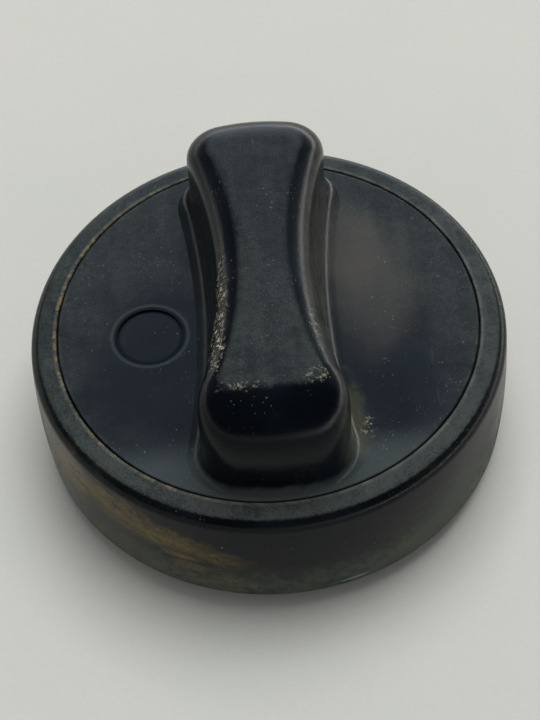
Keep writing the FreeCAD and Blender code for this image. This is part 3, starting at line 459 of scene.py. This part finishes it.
def addGripMarks(tree, place, colour, look):
    cells = mask(tree, speckGroup, place, look["crustCells"])
    for centre, half, strength in look["crustSpots"]:
        spot = stain(tree, place, centre, half, look["crustEdge"])
        colour = mixColour(tree, product(tree, spot, cells, strength), colour, look["crust"])
    foot = stain(tree, place, *look["grimeSpot"], look["grimeEdge"])
    streaks = mask(tree, scuffGroup, place, look["grimeStreaks"])
    grimy = product(tree, foot, calc(tree, "ADD", streaks, look["grimeFloor"]), clamp=True)
    colour = mixColour(tree, product(tree, grimy, look["grimeShare"]), colour, look["grime"])
    fromRecess = vectorCalc(tree, "SUBTRACT", place, Vector(look["recess"]) * mm)
    for radius, halfWidth, share, paint in look["recessBands"]:
        ring = band(tree, fromRecess, radius, halfWidth)
        colour = mixColour(tree, product(tree, ring, share), colour, look[paint])
    rubbed = product(tree, band(tree, place, **look["joint"]), cloudy(tree, place, **look["rubbing"]),
                     look["rubbedShare"])
    return mixColour(tree, rubbed, colour, look["dust"])


def makeGripPlastic():
    look = gripLook
    material, tree, shader, place = startMaterial("gripPlastic", {"Specular IOR Level": look["specular"]})
    parts = split(tree, place)
    grain = useGroup(tree, grainGroup, place, look["grain"])
    coarse = mask(tree, speckGroup, place, look["coarseCrumbs"])
    haze = mask(tree, hazeGroup, place, {"Amount": gripHaze(tree, place, parts, look), **look["hazeSlope"]})
    colour = mixColour(tree, haze, fadedPlastic(tree, grain, look), look["haze"])
    # painted sheen: brown reflection patches painted on the disc right of the handle
    for centre, half in look["paintedSheens"]:
        paintedSheen = stain(tree, place, centre, half, look["paintedSheenEdge"])
        colour = mixColour(tree, product(tree, paintedSheen, look["paintedSheenShare"]), colour, look["paintedSheen"])
    colour = addFootFilmAndLitStrip(tree, place, parts, colour, look)
    colour = addGripLightAndDust(tree, place, coarse, colour, look)
    colour = addGripMarks(tree, place, colour, look)
    feed(tree, colour, shader.inputs["Base Color"])
    scuffs = mask(tree, scuffGroup, place, look["scuffs"])
    rough = ease(tree, grain["Patch"], (0.3, 0.7), look["roughness"])
    rough = calc(tree, "MULTIPLY_ADD", haze, look["hazeRoughness"], rough)
    rough = calc(tree, "MULTIPLY_ADD", scuffs, look["scuffRoughness"], rough, clamp=True)
    feed(tree, rough, shader.inputs["Roughness"])
    height = calc(tree, "MULTIPLY_ADD", coarse, look["crumbHeight"], grain["Height"])
    bumpTo(tree, shader, height, **look["bump"])
    return material


ringLook = {
    "plastic": (0.0022, 0.0034, 0.0052, 1.0),
    "faded": (0.0046, 0.0068, 0.0088, 1.0),
    "haze": (0.0480, 0.0570, 0.0560, 1.0),
    "dust": (0.076, 0.086, 0.070, 1.0),
    "olive": (0.052, 0.064, 0.050, 1.0),
    "clay": (0.200, 0.145, 0.044, 1.0),
    "grime": (0.170, 0.145, 0.075, 1.0),
    "pale": (0.30, 0.31, 0.29, 1.0),
    "specular": 0.11,
    "roughness": (0.22, 0.32),
    "hazeRoughness": 0.20,
    "dustRoughness": 0.3,
    "grain": {"Grain Scale": 2100.0, "Grain Depth": 0.4, "Wave Scale": 80.0, "Wave Depth": 0.25},
    "bump": {"strength": 0.4, "distance": 0.14},
    "hazeSlope": {"Steep": 0.88, "Flat": 0.98},
    "hazeNear": {"span": (-8.0, -28.0), "out": (0.70, 1.22)},
    # haze thickens toward the right: painted light from the right side on top of the haze
    "hazeAndLightRight": {"span": (20.0, 34.0), "out": (0.0, 0.45)},
    # dust on the skirt's side, from below the rounding down to the foot, where it turns olive; it lies
    # thicker on the left and right sides as painted reflection there
    "sideWander": {"scale": 120.0, "detail": 4.0, "roughness": 0.6, "reach": 5.0},
    "sideSpan": {"span": (cap["disc"] - 12.0, cap["disc"] - 4.0), "out": (1.0, 0.10)},
    "grazingSidesLight": {"span": (10.0, 33.0), "out": (0.08, 1.0)},
    "sideFilm": {"Amount": 0.95, "Cloud Scale": 70.0},
    "filmShare": 0.8,
    "filmFloor": 0.3,
    "blotches": {"scale": 520.0, "detail": 5.0, "roughness": 0.7, "distortion": 0.6,
                 "span": (0.36, 0.64), "out": (0.45, 1.35)},
    "oliveSpan": {"span": (cap["foot"] + 11.0, cap["foot"] + 3.0), "out": (0.0, 0.8)},
    # clay smeared round the near left: centre, half size and strength of each stroke
    "strokeEdge": {"Edge Scale": 170.0, "Tear": 0.7},
    "strokeStretch": (1.0, 1.0, 3.0),
    "strokeStreaks": {"scale": 260.0, "detail": 6.0, "roughness": 0.7, "distortion": 0.5,
                      "span": (0.34, 0.66), "out": (0.2, 1.0)},
    "strokeGrit": {"scale": 2200.0, "detail": 3.0, "roughness": 0.7, "span": (0.36, 0.66),
                   "out": (0.55, 1.2)},
    "strokes": [
        ((-29.0, -27.5, 18.8), (12.0, 11.0, 5.0), 0.66),
        ((-19.0, -35.2, 17.0), (12.0, 6.5, 4.0), 0.68),
        ((-17.0, -36.2, 13.6), (7.5, 3.0, 1.1), 0.75),
        ((-34.5, -20.0, 17.0), (8.0, 15.0, 7.0), 0.50),
        ((-10.0, -38.8, 14.6), (8.0, 3.0, 2.6), 0.38),
        ((-14.0, -37.4, 11.0), (6.0, 3.0, 1.8), 0.55),
        ((-12.0, -38.4, 7.5), (12.0, 4.0, 3.0), 0.22),
        ((-26.0, -30.0, 8.0), (12.0, 9.0, 5.0), 0.16),
        ((22.0, -33.6, 9.0), (9.0, 6.0, 3.4), 0.10),
    ],
    # the joint's lip carries a painted highlight, and holds crumbs of dirt on the left
    "joint": {"radius": cap["jointRadius"] + 0.4, "halfWidth": 0.5},
    "lipHighlightBreaks": {"scale": 260.0, "detail": 4.0, "roughness": 0.65, "span": (0.38, 0.62),
                  "out": (0.25, 1.0)},
    "lipHighlightShare": 0.16,
    "dirtLeft": {"span": (-4.0, -20.0), "out": (0.10, 1.0)},
    "dirtLumps": {"scale": 1400.0, "detail": 3.0, "roughness": 0.6, "span": (0.47, 0.57)},
    "dirtClouds": {"scale": 150.0, "detail": 3.0, "roughness": 0.6, "span": (0.40, 0.58),
                   "out": (0.25, 1.0)},
    "dirtShare": 0.9,
    "fineShare": 0.13,
    "coarseCrumbs": {"Cell Scale": 760.0, "Size": 0.13, "Share": 0.10, "Cloud Scale": 120.0},
    "coarseShare": 0.3,
    # pale scratch at the skirt's near foot
    "scratch": ((11.0, -38.5, 5.6), (3.6, 2.0, 0.45)),
    "scratchEdge": {"Edge Scale": 600.0, "Tear": 0.3},
    "scratchShare": 0.5,
}


def addClay(tree, place, colour, look):
    drawn = vectorCalc(tree, "MULTIPLY", place, look["strokeStretch"])
    broken = product(tree, cloudy(tree, drawn, **look["strokeStreaks"]),
                     cloudy(tree, place, **look["strokeGrit"]))
    for centre, half, strength in look["strokes"]:
        smear = stain(tree, place, centre, half, look["strokeEdge"])
        share = product(tree, smear, broken, strength, clamp=True)
        colour = mixColour(tree, share, colour, look["clay"])
    return colour


def addLipHighlightAndDirt(tree, place, parts, colour, look):
    joint = band(tree, place, **look["joint"])
    # painted highlight: the joint's lip is painted pale in broken stretches
    pale = product(tree, joint, cloudy(tree, place, **look["lipHighlightBreaks"]), look["lipHighlightShare"])
    colour = mixColour(tree, pale, colour, look["pale"])
    dirty = product(tree, joint, cloudy(tree, place, **look["dirtClouds"]),
                    cloudy(tree, place, **look["dirtLumps"]), along(tree, parts["X"], **look["dirtLeft"]),
                    look["dirtShare"])
    return mixColour(tree, dirty, colour, look["grime"])


def makeRingPlastic():
    look = ringLook
    material, tree, shader, place = startMaterial("ringPlastic", {"Specular IOR Level": look["specular"]})
    parts = split(tree, place)
    grain = useGroup(tree, grainGroup, place, look["grain"])
    # haze thicker toward the near side, and toward the right as painted light from that side
    amount = calc(tree, "ADD", along(tree, parts["Y"], **look["hazeNear"]),
                  along(tree, parts["X"], **look["hazeAndLightRight"]))
    haze = mask(tree, hazeGroup, place, {"Amount": amount, **look["hazeSlope"]})
    colour = mixColour(tree, haze, fadedPlastic(tree, grain, look), look["haze"])
    height = calc(tree, "ADD", parts["Z"], wander(tree, place, **look["sideWander"]))
    film = calc(tree, "MULTIPLY_ADD", mask(tree, dustGroup, place, look["sideFilm"]), look["filmShare"],
                look["filmFloor"])
    blotches = cloudy(tree, place, **look["blotches"])
    # dust film on the skirt, laid thicker on the left and right sides: real dust and painted reflection
    dusty = product(tree, film, along(tree, height, **look["sideSpan"]),
                    along(tree, calc(tree, "ABSOLUTE", parts["X"]), **look["grazingSidesLight"]), blotches,
                    clamp=True)
    colour = mixColour(tree, dusty, colour, look["dust"])
    low = product(tree, along(tree, height, **look["oliveSpan"]), blotches, clamp=True)
    colour = mixColour(tree, low, colour, look["olive"])
    colour = addClay(tree, place, colour, look)
    colour = addLipHighlightAndDirt(tree, place, parts, colour, look)
    for specks, share in ((fineCrumbs, look["fineShare"]), (look["coarseCrumbs"], look["coarseShare"])):
        crumbs = product(tree, mask(tree, speckGroup, place, specks), share)
        colour = mixColour(tree, crumbs, colour, look["pale"])
    scratch = stain(tree, place, *look["scratch"], look["scratchEdge"])
    colour = mixColour(tree, product(tree, scratch, look["scratchShare"]), colour, look["pale"])
    feed(tree, colour, shader.inputs["Base Color"])
    rough = ease(tree, grain["Patch"], (0.3, 0.7), look["roughness"])
    rough = calc(tree, "MULTIPLY_ADD", haze, look["hazeRoughness"], rough)
    rough = calc(tree, "MULTIPLY_ADD", dusty, look["dustRoughness"], rough, clamp=True)
    feed(tree, rough, shader.inputs["Roughness"])
    bumpTo(tree, shader, grain["Height"], **look["bump"])
    return material


innerLook = {
    "ior": 1.5,
    "grain": {"Grain Scale": 2000.0, "Grain Depth": 0.3, "Wave Scale": 90.0, "Wave Depth": 0.2},
    "film": {"Amount": 0.35, "Cloud Scale": 120.0},
    "filmRoughness": 0.3,
    "bump": {"strength": 0.3, "distance": 0.1},
}


def makeMoulding(name, colour, dusty, rough):
    # plain moulded plastic or rubber of the inner pieces
    look = innerLook
    material, tree, shader, place = startMaterial(name, {"IOR": look["ior"]})
    grain = useGroup(tree, grainGroup, place, look["grain"])
    film = mask(tree, dustGroup, place, look["film"])
    feed(tree, mixColour(tree, film, colour, dusty), shader.inputs["Base Color"])
    feed(tree, calc(tree, "MULTIPLY_ADD", film, look["filmRoughness"], rough, clamp=True),
         shader.inputs["Roughness"])
    bumpTo(tree, shader, grain["Height"], **look["bump"])
    return material


metalLook = {
    "clouds": {"scale": 180.0, "detail": 5.0, "roughness": 0.62, "distortion": 0.5, "span": (0.42, 0.7)},
    "tarnishShare": 0.5,
    "tarnishRoughness": 0.3,
    "lines": {"scale": 2200.0, "detail": 2.0, "roughness": 0.5},
    "lineSpread": (-0.06, 0.08),
    "bump": {"strength": 0.2, "distance": 0.03},
}


def makeMetal(name, colour, tarnish, rough):
    look = metalLook
    material, tree, shader, place = startMaterial(name, {"Metallic": 1.0})
    aged = product(tree, cloudy(tree, place, **look["clouds"]), look["tarnishShare"])
    feed(tree, mixColour(tree, aged, colour, tarnish), shader.inputs["Base Color"])
    lines = noise(tree, place, **look["lines"])
    smoother, rougher = look["lineSpread"]
    lineRough = ease(tree, lines, (0.3, 0.7), (rough + smoother, rough + rougher))
    feed(tree, calc(tree, "MULTIPLY_ADD", aged, look["tarnishRoughness"], lineRough, clamp=True),
         shader.inputs["Roughness"])
    bumpTo(tree, shader, lines, **look["bump"])
    return material


zincLook = {
    "gold": (0.62, 0.47, 0.20, 1.0),
    "green": (0.50, 0.50, 0.26, 1.0),
    "rose": (0.62, 0.33, 0.24, 1.0),
    "grey": (0.48, 0.47, 0.45, 1.0),
    "drift": {"scale": 120.0, "detail": 3.0, "roughness": 0.5, "distortion": 0.8},
    "roseShift": (0.3, 0.1, 0.2),
    "roseClouds": {"scale": 150.0, "detail": 3.0, "roughness": 0.5, "distortion": 0.6,
                   "span": (0.5, 0.7), "out": (0.0, 0.6)},
    "rub": {"scale": 1200.0, "detail": 3.0, "roughness": 0.6},
    "rubStretch": (1.0, 0.1, 1.0),
    "earSpan": (20.0, 23.0),
    "roughness": (0.26, 0.42),
    "bump": {"strength": 0.15, "distance": 0.03},
}


def makeYellowZinc():
    # yellow passivation: gold with rainbow drifts of green and rose, rubbed grey on the ears
    look = zincLook
    material, tree, shader, place = startMaterial("yellowZinc", {"Metallic": 1.0})
    drift = noise(tree, place, **look["drift"])
    colour = mixColour(tree, ease(tree, drift, (0.35, 0.65)), look["gold"], look["green"])
    rose = cloudy(tree, vectorCalc(tree, "ADD", place, look["roseShift"]), **look["roseClouds"])
    colour = mixColour(tree, rose, colour, look["rose"])
    rub = noise(tree, vectorCalc(tree, "MULTIPLY", place, look["rubStretch"]), **look["rub"])
    worn = product(tree, along(tree, fromAxis(tree, place), look["earSpan"]), ease(tree, rub, (0.42, 0.62)))
    colour = mixColour(tree, worn, colour, look["grey"])
    feed(tree, colour, shader.inputs["Base Color"])
    feed(tree, ease(tree, drift, (0.3, 0.7), look["roughness"]), shader.inputs["Roughness"])
    bumpTo(tree, shader, rub, **look["bump"])
    return material


finishes = {
    "grip_plastic": makeGripPlastic(),
    "ring_plastic": makeRingPlastic(),
    "core_plastic": makeMoulding("corePlastic", (0.020, 0.020, 0.021, 1.0), (0.10, 0.095, 0.08, 1.0), 0.45),
    "gasket_rubber": makeMoulding("gasketRubber", (0.018, 0.018, 0.018, 1.0), (0.11, 0.10, 0.09, 1.0), 0.6),
    "valve_plastic": makeMoulding("valvePlastic", (0.60, 0.57, 0.49, 1.0), (0.42, 0.37, 0.28, 1.0), 0.38),
    "yellow_zinc": makeYellowZinc(),
    "screw_steel": makeMetal("screwSteel", (0.55, 0.54, 0.52, 1.0), (0.36, 0.33, 0.28, 1.0), 0.32),
    "spring_steel": makeMetal("springSteel", (0.40, 0.40, 0.41, 1.0), (0.24, 0.20, 0.16, 1.0), 0.34),
    "washer_steel": makeMetal("washerSteel", (0.56, 0.55, 0.53, 1.0), (0.38, 0.35, 0.30, 1.0), 0.36),
    "seal_plate_steel": makeMetal("sealPlateSteel", (0.57, 0.55, 0.49, 1.0), (0.40, 0.36, 0.28, 1.0), 0.38),
    "valve_brass": makeMetal("valveBrass", (0.70, 0.53, 0.25, 1.0), (0.36, 0.26, 0.13, 1.0), 0.30),
}
slotOfNode = {entry["node"]: entry["material_slot"] for entry in frame["record"]["subparts"]}
for name, node in nodes.items():
    node.data.materials.clear()
    node.data.materials.append(finishes[slotOfNode[name]])
print("materials on", len(nodes), "nodes")


# coil springs: one tree winds all three, with the end turns drawn flat

coilSteps = {
    "perTurn": 40,
    "roundWire": 14,
    "flatEnd": 0.125,      # share of the wire that lies flat at each end
}


def makeCoilTree():
    tree = bpy.data.node_groups.new("coilSpring", "GeometryNodeTree")
    tree.is_modifier = True
    tree.interface.new_socket("Geometry", in_out="INPUT", socket_type="NodeSocketGeometry")
    for label in ("Bottom Radius", "Top Radius", "Wire Radius", "Bottom", "Top", "Turns"):
        tree.interface.new_socket(label, in_out="INPUT", socket_type="NodeSocketFloat")
    tree.interface.new_socket("Wire Finish", in_out="INPUT", socket_type="NodeSocketMaterial")
    tree.interface.new_socket("Geometry", in_out="OUTPUT", socket_type="NodeSocketGeometry")
    take = tree.nodes.new("NodeGroupInput").outputs
    leave = tree.nodes.new("NodeGroupOutput")
    spiral = addNode(tree, "GeometryNodeCurveSpiral", None, {
        "Resolution": coilSteps["perTurn"], "Rotations": take["Turns"],
        "Start Radius": take["Bottom Radius"], "End Radius": take["Top Radius"], "Height": 0.0})
    share = addNode(tree, "GeometryNodeSplineParameter").outputs["Factor"]
    rise = addNode(tree, "ShaderNodeMapRange", {"interpolation_type": "LINEAR"}, {
        "Value": share, "From Min": coilSteps["flatEnd"], "From Max": 1 - coilSteps["flatEnd"]})
    low = calc(tree, "ADD", take["Bottom"], take["Wire Radius"])
    high = calc(tree, "SUBTRACT", take["Top"], take["Wire Radius"])
    height = calc(tree, "MULTIPLY_ADD", rise.outputs["Result"], calc(tree, "SUBTRACT", high, low), low)
    lift = addNode(tree, "ShaderNodeCombineXYZ", None, {"Z": height})
    raised = addNode(tree, "GeometryNodeSetPosition", None,
                     {"Geometry": spiral.outputs["Curve"], "Offset": lift.outputs["Vector"]})
    section = addNode(tree, "GeometryNodeCurvePrimitiveCircle", None,
                      {"Resolution": coilSteps["roundWire"], "Radius": take["Wire Radius"]})
    wire = addNode(tree, "GeometryNodeCurveToMesh", None,
                   {"Curve": raised.outputs["Geometry"], "Profile Curve": section.outputs["Curve"],
                    "Fill Caps": True})
    smooth = addNode(tree, "GeometryNodeSetShadeSmooth", None, {"Geometry": wire.outputs["Mesh"]})
    real = addNode(tree, "GeometryNodeRealizeInstances", None, {"Geometry": smooth.outputs["Geometry"]})
    painted = addNode(tree, "GeometryNodeSetMaterial", None,
                      {"Geometry": real.outputs["Geometry"], "Material": take["Wire Finish"]})
    tree.links.new(painted.outputs["Geometry"], leave.inputs["Geometry"])
    return tree


def socketName(tree, label):
    for item in tree.interface.items_tree:
        if item.in_out == "INPUT" and item.name == label:
            return item.identifier
    raise ValueError(label)


def growPiece(name, tree, values, material):
    # runs a tree on an empty mesh and keeps the result as a plain mesh at the origin
    carrier = bpy.data.objects.new(name + "Seed", bpy.data.meshes.new(name + "Seed"))
    bpy.context.scene.collection.objects.link(carrier)
    modifier = carrier.modifiers.new("grow", "NODES")
    modifier.node_group = tree
    for label, value in values.items():
        modifier[socketName(tree, label)] = value
    bpy.context.view_layer.update()
    seen = carrier.evaluated_get(bpy.context.evaluated_depsgraph_get())
    mesh = bpy.data.meshes.new_from_object(seen)
    bpy.data.objects.remove(carrier, do_unlink=True)
    mesh.name = name
    if not mesh.materials:
        mesh.materials.append(material)
    piece = bpy.data.objects.new(name, mesh)
    bpy.context.scene.collection.objects.link(piece)
    return piece


coilTree = makeCoilTree()
springs = {
    "mainCoil": {"node": "main_spring", "body": "cap", "joint": "seal_slide", "travel": 2.5,
                 "fixedEnd": "top", "bottomRadius": 28.2, "topRadius": 22.6, "wire": 0.7, "turns": 2.5},
    "pressureCoil": {"node": "pressure_spring", "body": "cap", "joint": "pressure_valve_slide",
                     "travel": 1.5, "fixedEnd": "top", "bottomRadius": 8.6, "topRadius": 8.6,
                     "wire": 0.4, "turns": 4.0},
    "vacuumCoil": {"node": "vacuum_spring", "body": "pressure_valve", "joint": "vacuum_valve_slide",
                   "travel": 1.0, "fixedEnd": "bottom", "bottomRadius": 2.3, "topRadius": 2.3,
                   "wire": 0.25, "turns": 4.0},
}
for name, spring in springs.items():
    low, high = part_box(spring["node"])
    coil = growPiece(name, coilTree, {
        "Bottom Radius": spring["bottomRadius"] * mm, "Top Radius": spring["topRadius"] * mm,
        "Wire Radius": spring["wire"] * mm, "Bottom": low[2], "Top": high[2], "Turns": spring["turns"],
        "Wire Finish": finishes["spring_steel"],
    }, finishes["spring_steel"])
    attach(coil, spring["body"])
    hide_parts(spring["node"])
    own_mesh(coil)
print("springs wound:", len(springs))


# floor, light and camera, with the room's own lengths in metres

table = {
    "half": 3.0,
    "paper": (0.585, 0.605, 0.580, 1.0),
    "paperWarm": (0.61, 0.615, 0.590, 1.0),
    "fibre": (0.5, 0.5, 0.48, 1.0),
    "roughness": 0.85,
    "mottling": {"scale": 26.0, "detail": 5.0, "roughness": 0.6, "span": (0.35, 0.65)},
    "fibres": {"scale": 900.0, "detail": 3.0, "roughness": 0.6},
    "fibreShare": ((0.35, 0.7), (0.0, 0.12)),
    "bump": {"strength": 0.15, "distance": 0.1},
}


def makeFloor():
    half = table["half"]
    corners = [(-half, -half, 0), (half, -half, 0), (half, half, 0), (-half, half, 0)]
    mesh = bpy.data.meshes.new("tableTop")
    mesh.from_pydata(corners, [], [(0, 1, 2, 3)])
    floor = bpy.data.objects.new("tableTop", mesh)
    bpy.context.scene.collection.objects.link(floor)
    material, tree, shader, place = startMaterial(
        "paleTable", {"Roughness": table["roughness"], "Specular IOR Level": 0.0})
    mottled = cloudy(tree, place, **table["mottling"])
    fibres = noise(tree, place, **table["fibres"])
    tint = mixColour(tree, mottled, table["paper"], table["paperWarm"])
    shade = mixColour(tree, ease(tree, fibres, *table["fibreShare"]), tint, table["fibre"])
    feed(tree, shade, shader.inputs["Base Color"])
    bumpTo(tree, shader, fibres, **table["bump"])
    mesh.materials.append(material)


makeFloor()

# the room in what shines: each span is a part of the unit direction, with the levels at its two ends
room = {
    "tint": (1.0, 0.99, 0.92, 1.0),
    "above": (-0.12, -0.02),
    "bandTop": ((0.06, 0.15), (1.0, 0.0)),       # a bright band stands on the horizon
    "bandRight": ((-0.1, 0.8), (0.0, 5.5)),      # brightest on the window side
    "bandFar": ((0.1, 0.9), (1.55, 3.0)),
    "farSide": (0.05, 0.45),
    "farLeft": ((-0.42, -0.12), (0.12, 1.0)),    # the far left of the room is dark
    "farRight": ((0.22, 0.5), (1.0, 0.30)),
    "glow": ((0.64, 0.80), (1.5, 0.0)),          # pale wall over the far horizon
    "darkCorner": 0.015,
    "below": 0.40,
    "sky": (0.30, 0.58, 1.0, 1.0),
    "skyLevel": ((0.84, 0.95), (1.0, 0.0)),
    "dome": (1.0, 0.99, 0.97, 1.0),
    "domeLevel": 0.35,
    "backdrop": (0.86, 0.87, 0.85, 1.0),
}


def background(tree, colour, strength):
    made = addNode(tree, "ShaderNodeBackground", None, {"Color": colour, "Strength": strength})
    return made.outputs["Background"]


def chooseShader(tree, share, first, second):
    made = tree.nodes.new("ShaderNodeMixShader")
    for index, value in enumerate((share, first, second)):
        feed(tree, value, made.inputs[index])
    return made.outputs["Shader"]


def makeWorld():
    world = bpy.data.worlds.new("softRoom")
    bpy.context.scene.world = world
    world.use_nodes = True
    tree = world.node_tree
    tree.nodes.clear()
    parts = split(tree, tree.nodes.new("ShaderNodeTexCoord").outputs["Generated"])
    above = ease(tree, parts["Z"], room["above"])
    inBand = product(tree, ease(tree, parts["Z"], *room["bandTop"]), above)
    level = calc(tree, "ADD", ease(tree, parts["X"], *room["bandRight"]),
                 ease(tree, parts["Y"], *room["bandFar"]))
    horizon = product(tree, level, inBand)
    ahead = product(tree, ease(tree, parts["Y"], room["farSide"]), ease(tree, parts["X"], *room["farLeft"]),
                    ease(tree, parts["X"], *room["farRight"]))
    glow = product(tree, ease(tree, parts["Z"], *room["glow"]), ahead)
    rest = mixValue(tree, above, room["below"], room["darkCorner"])
    white = calc(tree, "ADD", calc(tree, "ADD", horizon, glow), rest)
    blue = product(tree, ease(tree, parts["Z"], *room["skyLevel"]), ahead)
    mirrored = tree.nodes.new("ShaderNodeAddShader")
    tree.links.new(background(tree, room["tint"], white), mirrored.inputs[0])
    tree.links.new(background(tree, room["sky"], blue), mirrored.inputs[1])
    # an even dome lights the surfaces; past the floor's edge the camera sees a plain backdrop
    path = tree.nodes.new("ShaderNodeLightPath").outputs
    unseen = chooseShader(tree, path["Is Glossy Ray"], background(tree, room["dome"], room["domeLevel"]),
                          mirrored.outputs["Shader"])
    seen = chooseShader(tree, path["Is Camera Ray"], unseen, background(tree, room["backdrop"], 1.0))
    leave = tree.nodes.new("ShaderNodeOutputWorld")
    tree.links.new(seen, leave.inputs["Surface"])


panel = {
    "place": (0.20, 0.45, 1.6),
    "aim": (0.0, 0.0, 0.02),
    "size": 1.15,
    "power": 23.0,
    "colour": (1.0, 0.99, 0.96),
}


def makePanel():
    lamp = bpy.data.lights.new("ceilingPanel", "AREA")
    lamp.shape = "SQUARE"
    lamp.size = panel["size"]
    lamp.energy = panel["power"]
    lamp.color = panel["colour"]
    holder = bpy.data.objects.new("ceilingPanel", lamp)
    bpy.context.scene.collection.objects.link(holder)
    holder.location = panel["place"]
    facing = Vector(panel["aim"]) - Vector(panel["place"])
    holder.rotation_euler = facing.to_track_quat("-Z", "Y").to_euler()
    holder.visible_glossy = False      # a lamp behind a polariser: it lights, but leaves no glare


makeWorld()
makePanel()

camera = {
    "lens": 85.0,
    "sensor": 36.0,
    "clip": (0.01, 20.0),
    "elevation": 53.72,
    "roll": 4.31,
    "place": (-0.05, -172.53, 249.39),   # millimetres
}


def makeCamera():
    lens = bpy.data.cameras.new("photoCamera")
    lens.lens = camera["lens"]
    lens.sensor_width = camera["sensor"]
    lens.clip_start, lens.clip_end = camera["clip"]
    holder = bpy.data.objects.new("photoCamera", lens)
    bpy.context.scene.collection.objects.link(holder)
    tilt = math.radians(camera["elevation"])
    roll = math.radians(camera["roll"])
    right = Vector((1, 0, 0))
    forward = Vector((0, math.cos(tilt), -math.sin(tilt)))
    down = Vector((0, -math.sin(tilt), -math.cos(tilt)))
    across = right * math.cos(roll) + down * math.sin(roll)
    below = down * math.cos(roll) - right * math.sin(roll)
    turned = Matrix((across, -below, -forward)).transposed()
    holder.matrix_world = Matrix.Translation(Vector(camera["place"]) * mm) @ turned.to_4x4()
    bpy.context.scene.camera = holder


makeCamera()
bpy.context.scene.view_settings.view_transform = "Standard"
print("stage, light and camera ready")
